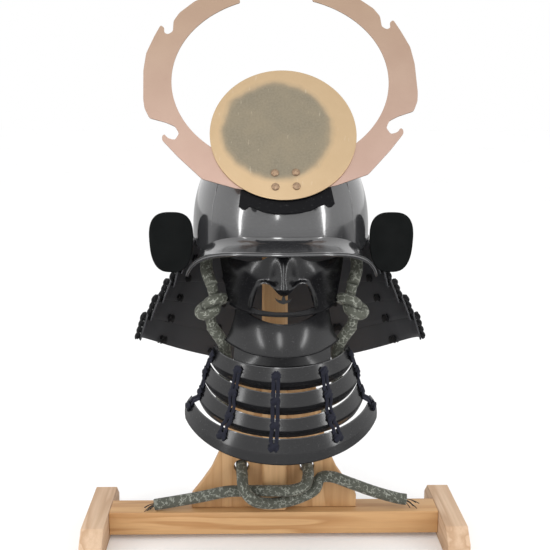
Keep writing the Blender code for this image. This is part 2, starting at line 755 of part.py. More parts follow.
def make_crest():
    """The crest's plane leans back: its pieces are stacked along the plane's own Z, the disc in front."""
    lean = bpy.data.objects.new("crest_plane", None)
    PARTS.objects.link(lean)
    lean.parent = HELMET
    centre_z = BOWL_RIM_Z + BOWL_HEIGHT - CREST_BELOW_TOP
    lean.location = (0, crest_plane_y(centre_z), centre_z)
    lean.rotation_euler = (math.pi / 2 - CREST_LEAN, 0, 0)
    roll = bpy.data.objects.new("crest_roll", None)
    PARTS.objects.link(roll)
    roll.parent = lean
    roll.rotation_euler = (0, 0, -CREST_ROLL)

    disc = bmesh.new()
    bmesh.ops.create_cone(
        disc,
        cap_ends=True,
        segments=56,
        radius1=DISC_RADIUS,
        radius2=DISC_RADIUS,
        depth=DISC_THICKNESS,
    )
    mesh = bpy.data.meshes.new("crest_disc")
    disc.to_mesh(mesh)
    disc.free()
    finish("crest_disc", mesh, ("brass", BRASS), roll, (0, 0, -DISC_THICKNESS / 2))

    half_width, half_height = RING_OPENING_WIDTH / 2, RING_OPENING_HEIGHT / 2
    outer = [(half_width * row["x"], half_height * row["up"]) for row in RING_OUTER]
    steps = 22
    span = math.pi - RING_TIP_ANGLE
    inner = [ring_ellipse(RING_TIP_ANGLE + span * step / steps) for step in range(steps + 1)]
    right = inner[::-1] + outer[:-1]
    outline = right + [outer[-1]] + [(-x, up) for x, up in reversed(right[1:])]
    behind_disc = -DISC_THICKNESS - CLEARANCE
    place = (0, 0, behind_disc - RING_THICKNESS / 2)
    outline_plate("crest_ring", outline, RING_THICKNESS, ("copper", COPPER), roll, place)

    behind_ring = behind_disc - RING_THICKNESS - CLEARANCE
    half = HOLDER_WIDTH / 2
    top = HOLDER_HEIGHT - HOLDER_DOWN
    edge = [(half * row["x"], HOLDER_HEIGHT * row["up"] - HOLDER_DOWN) for row in HOLDER_EDGE]
    holder = [(half * HOLDER_TOP_SHARE, top)] + edge + [(-x, up) for x, up in reversed(edge[:-1])]
    holder.append((-half * HOLDER_TOP_SHARE, top))
    place = (0, 0, behind_ring - HOLDER_THICKNESS / 2)
    look = ("black_lacquer", BLACK_LACQUER)
    outline_plate("crest_holder", holder, HOLDER_THICKNESS, look, roll, place)

    places = [(x, up) for up in (0.5, -0.5) for x in (-0.5, 0.5)]
    for number, (x, up) in enumerate(places, start=1):
        rivet = bmesh.new()
        bmesh.ops.create_cone(
            rivet,
            cap_ends=True,
            segments=14,
            radius1=RIVET_RADIUS,
            radius2=RIVET_RADIUS * RIVET_TOP_SHARE,
            depth=RIVET_HEIGHT,
        )
        name = f"crest_rivet_{number}"
        mesh = bpy.data.meshes.new(name)
        rivet.to_mesh(mesh)
        rivet.free()
        spot = (
            x * RIVET_SPACING_X,
            RIVET_CENTRE_UP + up * RIVET_SPACING_UP,
            CLEARANCE + RIVET_HEIGHT / 2,
        )
        finish(name, mesh, ("brass", BRASS), roll, spot)


def mask_half_width(z):
    """The mask's half width at this height."""
    share = (z - MASK_BOTTOM_Z) / (MASK_TOP_Z - MASK_BOTTOM_Z)
    return (MASK_BOTTOM_WIDTH + (MASK_TOP_WIDTH - MASK_BOTTOM_WIDTH) * share**0.6) / 2


def mask_depth(x, z):
    """The plain curve of the mask from cheek to cheek."""
    share = max(0.0, (z - MASK_BOTTOM_Z) / (MASK_TOP_Z - MASK_BOTTOM_Z))
    side_y = MASK_BOTTOM_SIDE_Y + (MASK_TOP_SIDE_Y - MASK_BOTTOM_SIDE_Y) * share**0.7
    reach = x / mask_half_width(max(z, MASK_BOTTOM_Z))
    return MASK_FRONT_Y + (side_y - MASK_FRONT_Y) * reach * reach


def mask_relief(x, z):
    """How far the nose and cheekbones stand out."""
    above = max(0.0, (z - NOSE_TIP_Z) / (MASK_TOP_Z - NOSE_TIP_Z))
    below = max(0.0, (NOSE_TIP_Z - z) / (MOUTH_HEIGHT * 0.3))
    nose = NOSE_REACH * math.exp(-((x / (NOSE_WIDTH / 2)) ** 2)) * (1 - 0.6 * above)
    nose *= max(0.0, 1 - below**2)
    cheek_z = (MASK_TOP_Z + NOSE_TIP_Z) / 2
    cheek_x = MASK_TOP_WIDTH * CHEEK_OUT_SHARE
    cheek = math.exp(-(((abs(x) - cheek_x) / CHEEK_SPREAD) ** 2) - (((z - cheek_z) / CHEEK_SPREAD) ** 2))
    return nose + CHEEK_SWELL * cheek


def chin_point(side, down):
    """A point on the chin plate: side from -1 to 1, down from 0 at its upper edge to 1."""
    top_half = MASK_BOTTOM_WIDTH / 2 - MASK_WALL
    behind = MASK_WALL + MASK_GAP
    half = top_half + (CHIN_LOWER_WIDTH / 2 - top_half) * down**2
    front_y = MASK_FRONT_Y + behind - CHIN_FLARE * down**2
    side_y = mask_depth(top_half, MASK_BOTTOM_Z) + behind
    side_y += (CHIN_LOWER_SIDE_Y - side_y) * down
    high = CHIN_TOP_Z + CHIN_SIDE_RISE * side * side
    low = CHIN_TOP_Z - CHIN_HEIGHT + CHIN_SIDE_RISE * 0.35 * abs(side) ** 4
    return Vector((side * half, front_y + (side_y - front_y) * side * side, high + (low - high) * down))


def flange_point(side, down):
    """A point on the flange that hangs behind the chin's lower edge and ends behind the first throat lame."""
    first = THROAT_LAMES[0]
    chin_lap = 1 - FLANGE_LAP / CHIN_HEIGHT
    upper = behind_plate(lambda at, low: chin_point(FLANGE_CHIN_SHARE * at, low), side, chin_lap)
    lower = behind_plate(lambda at, low: throat_point(first, FLANGE_HALF_ANGLE * at, low), side, 0)
    return upper.lerp(lower - Vector((0, 0, FLANGE_LAP)), down)


def behind_plate(plate, side, down):
    """The point a plate's wall and a small gap behind the plate."""
    across = plate(side + 0.01, down) - plate(side - 0.01, down)
    fall = plate(side, down + 0.01) - plate(side, down - 0.01)
    return plate(side, down) + across.cross(fall).normalized() * (MASK_WALL + FLANGE_GAP)


def make_mask():
    look = ("black_lacquer", BLACK_LACQUER)

    def face(u, v):
        side = 2 * u - 1
        bottom = MASK_BOTTOM_Z + MOUTH_BAR * 1.2 * abs(side) ** 5
        bridge = BRIDGE_RISE * math.exp(-((side * MASK_TOP_WIDTH / BRIDGE_WIDTH) ** 2))
        z = bottom + (MASK_TOP_Z + bridge - bottom) * v
        x = side * mask_half_width(z)
        return Vector((x, mask_depth(x, z) - mask_relief(x, z), z))

    mask = sheet("mask_face", 28, 12, face, look, MASK_WALL, parent=HELMET)

    low = MASK_BOTTOM_Z + MOUTH_BAR
    right = [(MOUTH_WIDTH / 2 * row["x"], low + MOUTH_HEIGHT * row["up"]) for row in MOUTH_EDGE]
    outline = right + [(-x, up) for x, up in reversed(right[:-1])]
    cutter = outline_plate(
        "mouth_opening",
        outline,
        -MASK_FRONT_Y,
        look,
        parent=HELMET,
        location=(0, MASK_FRONT_Y, 0),
        rotation=(math.pi / 2, 0, 0),
    )
    cut(mask, as_mesh(cutter))

    def chin(u, v):
        return chin_point(2 * u - 1, 1 - v)

    def flange(u, v):
        return flange_point(2 * u - 1, 1 - v)

    sheet("mask_chin", 20, 5, chin, look, MASK_WALL, parent=HELMET)
    sheet("chin_flange", 18, 2, flange, look, MASK_WALL, parent=HELMET)

    lip_z = low + MOUTH_HEIGHT * MOUTH_EDGE[-1]["up"] - CLEARANCE - LIP_TAB_HEIGHT
    right = [(LIP_TAB_WIDTH / 2 * row["x"], LIP_TAB_HEIGHT * row["up"]) for row in LIP_TAB_EDGE]
    outline = right + [(-x, up) for x, up in reversed(right[1:])]
    lip_top = lip_z + LIP_TAB_HEIGHT
    middle_y = mask_depth(0, lip_top) - mask_relief(0, lip_top) + MASK_WALL / 2 - LIP_TAB_AHEAD
    turn = (math.pi / 2, 0, 0)
    outline_plate("lip_tab", outline, MASK_WALL, look, HELMET, (0, middle_y, lip_z), turn)


def throat_point(row, turn, v, stand_off=0.0):
    """A point on a throat lame: turn is the angle from the front, v runs from its top to its bottom."""
    last = THROAT_HALF_ANGLE
    aside = (1 - math.cos(turn)) / (1 - math.cos(last))
    high = row["top"] + (row["tip_top"] - row["top"]) * aside
    low = row["low"] + (row["tip_low"] - row["low"]) * aside
    out = stand_off + THROAT_LEAN * min(v / THROAT_KNEE, 1)
    out -= THROAT_CURL * row["curl"] * max(0.0, (v - THROAT_KNEE) / (1 - THROAT_KNEE))
    half = THROAT_WIDTH / 2 * (row["wide"] + row["wider"] * v) / math.sin(last)
    front = THROAT_FRONT_Y - THROAT_FLARE * row["flare"]
    depth = THROAT_DEPTH * row["deep"] / (1 - math.cos(last))
    return Vector(
        (
            (half + out) * math.sin(turn),
            front + depth - (depth + out) * math.cos(turn),
            THROAT_TOP_Z - THROAT_DROP * (high + (low - high) * v),
        )
    )


def make_throat_guard():
    look = ("black_lacquer", BLACK_LACQUER)
    for number, row in enumerate(THROAT_LAMES, start=1):

        def lame(u, v, row=row):
            turn = (2 * u - 1) * THROAT_HALF_ANGLE
            down = 2 * (1 - v)
            share = THROAT_KNEE * min(down, 1) + (1 - THROAT_KNEE) * max(down - 1, 0)
            return throat_point(row, turn, share)

        sheet(f"throat_lame_{number}", 24, 2, lame, look, THROAT_WALL, parent=HELMET)
    off = LACE_RADIUS + 2 * CLEARANCE
    for number, degrees in enumerate(THROAT_LACE_ANGLES, start=1):
        turn = math.radians(degrees)
        route = []
        for row in THROAT_LAMES:
            route.append(throat_point(row, turn, 0, off) + Vector((0, 0, LACE_RISE)))
            route.append(throat_point(row, turn, THROAT_KNEE, off))
        tube(f"throat_lace_{number}", route, LACE_RADIUS, ("navy", NAVY), HELMET, resolution=1)


def route_points(rows, base_z):
    """A route table's points, with their heights from this level."""
    return [(row["x"], row["y"], base_z + row["up"]) for row in rows]


def make_cord():
    """The chin cord: a hidden stretch inside the bowl, a knot at each cheek, and two ends half knotted."""
    look = ("cord_green", CORD_GREEN)
    inside = BOWL_WALL + CORD_RADIUS + 2 * CLEARANCE
    side = BOWL_WIDTH / 2 - inside
    rear = BOWL_LENGTH / 2 - inside
    half_length = KNOT_LENGTH / 2 + KNOT_END_GAP
    right_up = [(KNOT_X, KNOT_Y, KNOT_Z + half_length), *route_points(CORD_UP_TO_BOWL, BOWL_RIM_Z)]
    hidden = []
    for step in range(-4, 5):
        angle = CROWN_HALF_ANGLE * step / 4
        hidden.append((side * math.sin(angle), rear * math.cos(angle), CROWN_CORD_Z))
    route = mirrored(right_up) + hidden + right_up[::-1]
    tube("cord_crown", smooth_route(route, 1.5 * CORD_POINT_SPACING), CORD_RADIUS, look, HELMET)
    down = [(KNOT_X, KNOT_Y, KNOT_Z - half_length), *route_points(CORD_BEHIND_LAMES, BOWL_RIM_Z)]
    for side_name, sign, front in (("left", -1, CORD_LEFT_FRONT), ("right", 1, CORD_RIGHT_FRONT)):
        knot = bmesh.new()
        bmesh.ops.create_uvsphere(knot, u_segments=14, v_segments=9, radius=1)
        size = (KNOT_RADIUS, KNOT_RADIUS * KNOT_DEPTH_SHARE, KNOT_LENGTH / 2 - CLEARANCE)
        bmesh.ops.scale(knot, vec=size, verts=knot.verts)
        mesh = bpy.data.meshes.new(f"knot_{side_name}")
        knot.to_mesh(mesh)
        knot.free()
        finish(f"knot_{side_name}", mesh, look, HELMET, (sign * KNOT_X, KNOT_Y, KNOT_Z))
        route = [(sign * x + HELMET_X, y + HELMET_Y, z) for x, y, z in down]
        route += [(sign * x, y, z) for x, y, z in route_points(CORD_BEHIND_BOARD, BAR_TOP_Z)]
        route += route_points(front, BAR_TOP_Z)
        tube(f"cord_{side_name}", smooth_route(route, CORD_POINT_SPACING), CORD_RADIUS, look)
        make_peg(side_name, sign, size)


def make_peg(side_name, sign, knot_size):
    """The small peg between the mask's side and the cheek knot."""
    half = mask_half_width(PEG_Z)
    start = Vector((sign * (half + CLEARANCE), mask_depth(half, PEG_Z) + MASK_WALL / 2, PEG_Z))
    middle = Vector((sign * KNOT_X, KNOT_Y, KNOT_Z))
    away = start - middle
    depth = math.sqrt(sum((a / b) ** 2 for a, b in zip(away, knot_size)))
    end = middle + away / depth + away.normalized() * PEG_END_GAP
    tube(f"cheek_peg_{side_name}", [start, end], PEG_RADIUS, ("matte_black", MATTE_BLACK), HELMET)


for old in list(bpy.data.objects):
    bpy.data.objects.remove(old)
PARTS = bpy.data.collections.new("samurai_helmet_on_stand")
CUTTERS = bpy.data.collections.new("cutters")
bpy.context.scene.collection.children.link(PARTS)
bpy.context.scene.collection.children.link(CUTTERS)
HELMET = bpy.data.objects.new("helmet", None)
PARTS.objects.link(HELMET)
HELMET.location = (HELMET_X, HELMET_Y, 0)

make_stand()
make_board()
make_post()
make_bowl()
make_turnbacks()
make_neck_guard()
make_crest()
make_mask()
make_throat_guard()
make_cord()
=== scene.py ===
"""The looks of a samurai helmet with mask and throat guard on its pine stand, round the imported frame."""

import math
import random

import bmesh
import bpy
import numpy as np
from mathutils import Matrix, Vector


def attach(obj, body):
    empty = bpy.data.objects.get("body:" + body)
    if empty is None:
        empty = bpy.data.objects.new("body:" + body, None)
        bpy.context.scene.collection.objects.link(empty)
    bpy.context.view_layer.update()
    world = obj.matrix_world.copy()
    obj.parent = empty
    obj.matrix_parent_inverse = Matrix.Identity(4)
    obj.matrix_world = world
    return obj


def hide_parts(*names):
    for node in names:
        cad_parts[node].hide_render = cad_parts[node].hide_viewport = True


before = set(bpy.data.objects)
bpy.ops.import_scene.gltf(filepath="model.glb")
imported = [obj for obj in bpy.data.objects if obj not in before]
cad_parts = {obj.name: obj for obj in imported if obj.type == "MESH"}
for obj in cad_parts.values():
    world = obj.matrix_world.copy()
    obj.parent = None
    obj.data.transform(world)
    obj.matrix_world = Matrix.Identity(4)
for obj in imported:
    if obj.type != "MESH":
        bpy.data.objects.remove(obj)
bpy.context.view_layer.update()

SIDES = {"left": -1, "right": 1}
HELMET = Vector((0.0066, -0.0125, 0))

# Camera, as the photograph was taken
CAMERA_PLACE = (-0.031, -1.219, 0.573)
CAMERA_TURN = math.radians(-1.47)
CAMERA_DOWN = math.radians(-10.73)
CAMERA_ROLL = math.radians(-0.22)
CAMERA_LENS = 65.4545
CAMERA_SENSOR = 36
CAMERA_CLIP = 0.01

# Bowl and peak
BOWL_WIDTH = 0.212
BOWL_LENGTH = 0.236
BOWL_WALL = 0.0025
BOWL_RIM_Z = 0.385
BOWL_HEIGHT = 0.140
BOWL_ROUNDNESS = 2.3
BROW_RISE = 0.0155
BROW_HALF_ANGLE = math.radians(62)
PEAK_HALF_ANGLE = math.radians(66)
PEAK_REACH = 0.024
PEAK_SIDE_REACH = 0.0155
PEAK_DROP = 0.0072
PEAK_TIP_DROP = 0.038
PEAK_DROOP = 3.2
PEAK_WALL = 0.002
PEAK_FILLET = 0.008
PEAK_SEAT = 0.35
PEAK_SEAT_MORE = 0.40
PEAK_RIM = 0.0019
PEAK_LINE_IN = 0.12
PEAK_SUNK = 0.0005
SEAM_ANGLE = math.radians(50)
SEAM_HALF_WIDTH = 0.0008
SEAM_RISE = 0.0004
CLEARANCE = 0.0003

# Turned-back plates
TURNBACK_WIDTH = 0.0515
TURNBACK_HEIGHT = 0.072
TURNBACK_THICKNESS = 0.003
TURNBACK_RISE = 0.0055
TURNBACK_TAPER = 0.09

# Neck guard
NECK_FRONT_Y = -0.033
NECK_FRONT_DROP = 0.115
NECK_BACK_DROP = 0.197
NECK_SIDE_FLARE = 0.066
NECK_BACK_FLARE = 0.044
NECK_SWEEP = 1.6
NECK_WALL = 0.002
NECK_LAP = 0.008
NECK_STEP = 0.0027
NECK_LACES = (-0.96, -0.62, -0.31, 0, 0.31, 0.62, 0.96)
NECK_LAMES = (
    {"front": 0.29, "back": 0.20, "flare": 0.24},
    {"front": 0.43, "back": 0.40, "flare": 0.38},
    {"front": 0.60, "back": 0.60, "flare": 0.59},
    {"front": 0.79, "back": 0.80, "flare": 0.81},
    {"front": 1.00, "back": 1.00, "flare": 1.00},
)

# Crest
CREST_BELOW_TOP = 0.0045
CREST_LEAN = math.radians(32)
CREST_ROLL = math.radians(-1.9)
DISC_RADIUS = 0.0822
PLATE_THICKNESS = 0.0015
RING_OPENING_WIDTH = 0.249
RING_OPENING_HEIGHT = 0.2256
RING_CENTRE_UP = 0.072
RING_TIP_ANGLE = math.radians(20)
RING_CORNER_CUT = 0.0013
HOLDER_WIDTH = 0.105
HOLDER_HEIGHT = 0.048
HOLDER_DOWN = 0.097
HOLDER_THICKNESS = 0.002
HOLDER_TOP_SHARE = 0.9
RIVET_RADIUS = 0.0045
RIVET_HEIGHT = 0.002
RIVET_SPACING_X = 0.0232
RIVET_SPACING_UP = 0.0169
RIVET_CENTRE_UP = -0.0577

# Mask
MASK_BELOW_RIM = 0.007
MASK_HEIGHT = 0.0595
MASK_TOP_WIDTH = 0.146
MASK_BOTTOM_WIDTH = 0.113
MASK_FRONT_Y = -0.115
MASK_TOP_SIDE_Y = -0.050
MASK_BOTTOM_SIDE_Y = -0.0817
MASK_WALL = 0.002
MASK_GAP = 0.0026
BRIDGE_RISE = 0.016
BRIDGE_WIDTH = 0.040
NOSE_REACH = 0.017
NOSE_WIDTH = 0.019
NOSE_TIP_DOWN = 0.026
CHEEK_SWELL = 0.005
MOUTH_BAR = 0.0047
MOUTH_HEIGHT = 0.0331
MOUTH_WIDTH = 0.072
CHIN_OPENING = 0.0113
CHIN_HEIGHT = 0.033
CHIN_SIDE_RISE = 0.019
CHIN_FLARE = 0.016
CHIN_LOWER_WIDTH = 0.1334
CHIN_LOWER_SIDE_Y = -0.070
FLANGE_CHIN_SHARE = 0.93
FLANGE_HALF_ANGLE = math.radians(46)
FLANGE_LAP = 0.006
FLANGE_GAP = 0.0009
MASK_TOP_Z = BOWL_RIM_Z - MASK_BELOW_RIM
MASK_BOTTOM_Z = MASK_TOP_Z - MASK_HEIGHT
NOSE_TIP_Z = MASK_TOP_Z - NOSE_TIP_DOWN
CHIN_TOP_Z = MASK_BOTTOM_Z - CHIN_OPENING
MOUTH_LOW_Z = MASK_BOTTOM_Z + MOUTH_BAR
LIP_BAND = 0.0052
LIP_RISE = 0.0030
LIP_ABOVE = 0.004
NOSTRIL_X = 0.0095
NOSTRIL_SIZE = 0.0055
NOSTRIL_LIFT = 0.002
NOSTRIL_SWELL = 0.004
CHEEK_SIZE = 0.014
EDGE_BEAD = 0.0011

# The mouth's right half: shares of its half width and of its height
MOUTH_EDGE = (
    (1.00, 0.00), (0.96, 0.35), (0.84, 0.74), (0.74, 0.94), (0.60, 1.00), (0.44, 0.97),
    (0.28, 0.84), (0.14, 0.66), (0.00, 0.58),
)

# Throat guard
THROAT_TOP_Z = CHIN_TOP_Z - CHIN_HEIGHT - 0.0182
THROAT_DROP = 0.103
THROAT_WIDTH = 0.228
THROAT_FRONT_Y = MASK_FRONT_Y - 0.005
THROAT_FLARE = 0.020
THROAT_DEPTH = 0.095
THROAT_WALL = 0.002
THROAT_HALF_ANGLE = math.radians(80)
THROAT_KNEE = 0.58
THROAT_LEAN = 0.005
THROAT_CURL = 0.0065
THROAT_CORNER = 0.12
THROAT_BEAD = 0.0008
THROAT_BEVEL = 0.0009
THROAT_COLUMNS = ("top", "low", "tip_top", "tip_low", "wide", "wider", "flare", "deep", "curl")
THROAT_LAMES = [
    dict(zip(THROAT_COLUMNS, row))
    for row in (
        (-0.045, 0.22, -0.15, 0.10, 0.695, 0.025, 0.00, 0.64, 1),
        (0.230, 0.49, 0.05, 0.35, 0.775, 0.025, 0.25, 0.84, 1),
        (0.505, 0.73, 0.28, 0.60, 0.832, 0.025, 0.50, 0.91, 1),
        (0.717, 1.00, 0.515, 0.66, 0.957, 0.040, 0.75, 1.01, 0),
    )
]
THROAT_LACE_ANGLES = (-73, -37, -5.5, 33, 73)

# Lacing
LACE_HALF_WIDTH = 0.0023
LACE_HALF_THICK = 0.0010
LACE_APART = 0.0048
KNOT_LACE_SIZE = 1.45
THROAT_KNOT_LEVEL = 0.30
THROAT_KNOT_HALF = 0.12
NECK_KNOT_LEVEL = 0.16
INSIDE_KNOT_LEVEL = 0.86
LACE_LIFT = 0.0013
LACE_PROUD = 0.0006
NECK_KNOT_HALF = 0.13
INSIDE_KNOT_HALF = 0.06
NECK_ARC = 2.2
ROPE_RADIUS = 0.0026
ROPE_TWIST = 0.55
ROPE_STEP = 0.0014
ROPE_STRAND_OUT = ROPE_RADIUS * 0.6
ROPE_STRAND_RADIUS = ROPE_RADIUS * 0.72

# Chin cord
CORD_RADIUS = 0.00725
KNOT_PLACE = Vector((0.082, -0.066, 0.321))
KNOT_LENGTH = 0.042
KNOT_SPAN = 2.2
KNOT_WIDE = 0.011
KNOT_TALL = 0.0105
KNOT_DEEP = 0.0016
KNOT_PUSH = 0.28
KNOT_SMOOTHING = 0.12
KNOT_END_GAP = 0.004
KNOT_POINTS = 84
KNOT_PACKING = 0.0122
KNOT_CORD_RADIUS = 0.0062
KNOT_STEPS = 700
KNOT_ROPE = 0.172
KNOT_SQUEEZE = 0.86
CROWN_CORD_Z = 0.402
FRAY_SEEDS = {"left": 7, "right": 11}
FRAY_THREADS = 7
FRAY_ROOT = 0.003
FRAY_SPREAD = 0.0035
FRAY_SHORT = 0.012
FRAY_LONG = 0.021
FRAY_FALL = 0.006
FRAY_RADIUS = 0.0005
CORD_UP_TO_BOWL = (
    (0.0885, -0.0500, 0.3620), (0.0885, -0.0350, 0.3860),
)
CORD_BEHIND_LAMES = (
    (0.0680, -0.0570, 0.2700), (0.0675, -0.0480, 0.2440), (0.0690, -0.0260, 0.2180),
    (0.0740, 0.0060, 0.1960),
)
CORD_BEHIND_BOARD = (
    (0.0660, 0.0210, 0.1720), (0.0550, 0.0290, 0.1450), (0.0450, 0.0310, 0.1190),
    (0.0420, 0.0220, 0.0965),
)
CORD_LEFT_FRONT = (
    (-0.0420, 0.0020, 0.0936), (-0.0410, -0.0200, 0.0890), (-0.0385, -0.0400, 0.0770),
    (-0.0260, -0.0430, 0.0630), (-0.0080, -0.0300, 0.0535), (0.0120, -0.0260, 0.0535),
    (0.0320, -0.0260, 0.0595), (0.0510, -0.0235, 0.0690), (0.0585, -0.0170, 0.0820),
    (0.0740, -0.0215, 0.0850), (0.0960, -0.0220, 0.0770), (0.1280, -0.0170, 0.0630),
    (0.1580, -0.0120, 0.0520), (0.1700, -0.0120, 0.0500),
)
CORD_RIGHT_FRONT = (
    (0.0420, 0.0020, 0.0936), (0.0430, -0.0200, 0.0900), (0.0380, -0.0390, 0.0815),
    (0.0230, -0.0390, 0.0750), (0.0040, -0.0290, 0.0700), (-0.0200, -0.0250, 0.0685),
    (-0.0400, -0.0240, 0.0680), (-0.0620, -0.0240, 0.0670), (-0.0930, -0.0180, 0.0580),
    (-0.1200, -0.0130, 0.0510), (-0.1530, -0.0120, 0.0450),
)

# The crest ring's right half in its own plane, as shares of the opening's half width and half height
RING_OUTER = (
    (0.370, 1.800), (0.560, 1.730), (0.779, 1.605), (0.920, 1.470), (0.976, 1.370), (0.984, 1.240),
    (1.030, 1.205), (1.065, 1.228), (1.063, 1.290), (1.098, 1.321), (1.155, 1.192), (1.232, 0.984),
    (1.257, 0.780), (1.257, 0.443), (1.245, 0.337), (1.200, 0.223), (1.052, 0.168), (0.967, 0.118),
    (0.935, 0.040), (0.972, -0.031), (1.036, -0.009), (1.064, 0.037), (1.086, 0.022), (1.088, -0.027),
    (0.952, -0.213), (0.867, -0.315), (0.737, -0.470), (0.450, -0.580), (0.000, -0.680),
)

# The crest holder's right half: shares of its half width and of its height; its lobed low edge traces
# painted shade
HOLDER_EDGE = (
    (1.00, 0.22), (0.93, 0.14), (0.86, 0.13), (0.78, 0.20), (0.69, 0.17), (0.50, 0.06),
    (0.25, 0.01), (0.00, 0.00),
)

# Stand and floor
SOFT_EDGE = 0.0009
FLOOR_REACH = 12.0


def fill(node, inputs):
    """Give each input of a node its value, or link it to another node's output."""
    for key, value in inputs.items():
        if isinstance(value, bpy.types.NodeSocket):
            node.id_data.links.new(value, node.inputs[key])
        else:
            node.inputs[key].default_value = value


def configure(made, **settings):
    for key, value in settings.items():
        setattr(made, key, value)


def add(kind, inputs, **settings):
    """A shader node with its settings, in the tree of the outputs that feed it."""
    tree = next(value.id_data for value in inputs.values() if isinstance(value, bpy.types.NodeSocket))
    made = tree.nodes.new(kind)
    configure(made, **settings)
    fill(made, inputs)
    return made


def new_material(name, coords="Object"):
    made = bpy.data.materials.new(name)
    made.use_nodes = True
    return made, made.node_tree.nodes.new("ShaderNodeTexCoord").outputs[coords]


def finish_look(made, inputs):
    """The material with its shader's inputs filled."""
    fill(made.node_tree.nodes["Principled BSDF"], inputs)
    return made


def full_colour(value):
    """A grey or a colour with its alpha. A node's output stays as it is."""
    if isinstance(value, bpy.types.NodeSocket):
        return value
    return (*value, 1) if isinstance(value, tuple) else (value, value, value, 1)


def noise(coords, scale, detail=3.0, roughness=0.5, output="Fac"):
    inputs = {"Vector": coords, "Scale": scale, "Detail": detail, "Roughness": roughness}
    return add("ShaderNodeTexNoise", inputs).outputs[output]


def wave(coords, scale, distortion, direction="X"):
    inputs = {"Vector": coords, "Scale": scale, "Distortion": distortion}
    return add("ShaderNodeTexWave", inputs, bands_direction=direction).outputs["Fac"]


def ramp(value, *stops):
    """A colour ramp: stops are (position, grey or colour)."""
    made = add("ShaderNodeValToRGB", {"Fac": value})
    elements = made.color_ramp.elements
    while len(elements) < len(stops):
        elements.new(0.5)
    for element, (position, colour) in zip(elements, stops):
        element.position = position
        element.color = full_colour(colour)
    return made.outputs["Color"]


def placed(coords, **moves):
    """Coordinates with a Location, a Rotation or a Scale."""
    return add("ShaderNodeMapping", {"Vector": coords, **moves}).outputs["Vector"]


def axis_share(coords, axis, low, high):
    """How far a place lies from low to high along an axis, from 0 to 1."""
    value = add("ShaderNodeSeparateXYZ", {"Vector": coords}).outputs[axis]
    inputs = {"Value": value, "From Min": low, "From Max": high}
    return add("ShaderNodeMapRange", inputs).outputs["Result"]


def bump(height, strength, distance):
    return add(
        "ShaderNodeBump", {"Height": height, "Strength": strength, "Distance": distance}).outputs["Normal"]


def mixed(share, first, second, mode="MIX"):
    inputs = {"Fac": share, "Color1": full_colour(first), "Color2": full_colour(second)}
    return add("ShaderNodeMixRGB", inputs, blend_type=mode).outputs["Color"]


def for_gloss(plain, painted_reflection):
    """One colour for the camera and diffuse light, and another for glossy reflections: a painted reflection.
    """
    path = painted_reflection.id_data.nodes.new("ShaderNodeLightPath")
    return mixed(path.outputs["Is Glossy Ray"], plain, painted_reflection)


def make_lacquer(name, base, rough_low, rough_high, gloss=1.0, blur=0.08):
    """Polished black lacquer: nearly black, faintly wavy, with dust and fine rubbing in its gloss."""
    made, coords = new_material(name)
    specks = ramp(noise(coords, 700, 2), (0.66, 0.0), (0.76, 1.0))
    worn = ramp(noise(coords, 26, 4), (0.3, rough_low), (0.7, rough_high))
    wavy = bump(noise(coords, 16, 2), 0.12, 0.004)
    return finish_look(made, {
        "Base Color": mixed(specks, base, 0.06), "Roughness": mixed(specks, worn, 0.45),
        "IOR": 1.0 + 0.7 * gloss, "Coat Weight": gloss, "Coat Roughness": blur, "Coat IOR": 1.7,
        "Normal": wavy, "Coat Normal": wavy})


def make_matte_black():
    """Dull black on the turned-back plates, with a fine grain."""
    made, coords = new_material("matte_black")
    patches = noise(coords, 40, 3)
    return finish_look(made, {
        "Base Color": ramp(patches, (0.35, (0.003, 0.004, 0.004)), (0.7, (0.007, 0.008, 0.008))),
        "Roughness": ramp(patches, (0.3, 0.5), (0.7, 0.72)), "IOR": 1.2,
        "Normal": bump(noise(coords, 900, 3), 0.25, 0.0004)})


def make_pine(name, along, light, dark, shift):
    """Planed pine, its grain along one axis: broad wandering lines, fine fibres and a flush of colour."""
    made, coords = new_material(name)
    place = placed(coords, Location=shift)

    def drawn_out(share):
        return placed(place, Scale=tuple(share if axis == along else 1.0 for axis in "XYZ"))

    broad = noise(drawn_out(0.07), 55, 2, 0.4)
    fine = noise(drawn_out(0.03), 260, 3)
    fibres = noise(drawn_out(0.04), 1300, 2)
    flush = noise(drawn_out(0.3), 14, 3)
    lined = ramp(broad, (0.40, light), (0.56, dark), (0.60, light), (0.72, light))
    streaked = mixed(ramp(fine, (0.45, 0.0), (0.75, 0.45)), lined, dark)
    fibrous = mixed(0.16, streaked, ramp(fibres, (0.3, 0.45), (0.7, 1.0)), "MULTIPLY")
    return finish_look(made, {
        "Base Color": mixed(ramp(flush, (0.35, 0.0), (0.75, 0.45)), fibrous, dark),
        "Roughness": ramp(fibres, (0.2, 0.48), (0.8, 0.62)), "IOR": 1.45,
        "Normal": bump(mixed(0.5, fine, fibres), 0.12, 0.0005)})


def make_copper():
    """Brushed copper with a faint change from pink at the bottom to tan at the top."""
    made, coords = new_material("copper")
    low, middle, high = (0.52, 0.360, 0.298), (0.51, 0.366, 0.285), (0.47, 0.335, 0.235)
    tone = ramp(axis_share(coords, "Z", 0.47, 0.69), (0.0, low), (0.5, middle), (1.0, high))
    patches = ramp(noise(coords, 22, 4), (0.35, 0.0), (0.75, 0.35))
    brushed = noise(placed(coords, Scale=(1, 1, 0.06)), 1600, 2)
    return finish_look(made, {
        "Base Color": mixed(patches, tone, (0.40, 0.26, 0.20)), "Metallic": 0.85,
        "Roughness": ramp(brushed, (0.2, 0.34), (0.8, 0.5)),
        "Normal": bump(brushed, 0.08, 0.0003)})


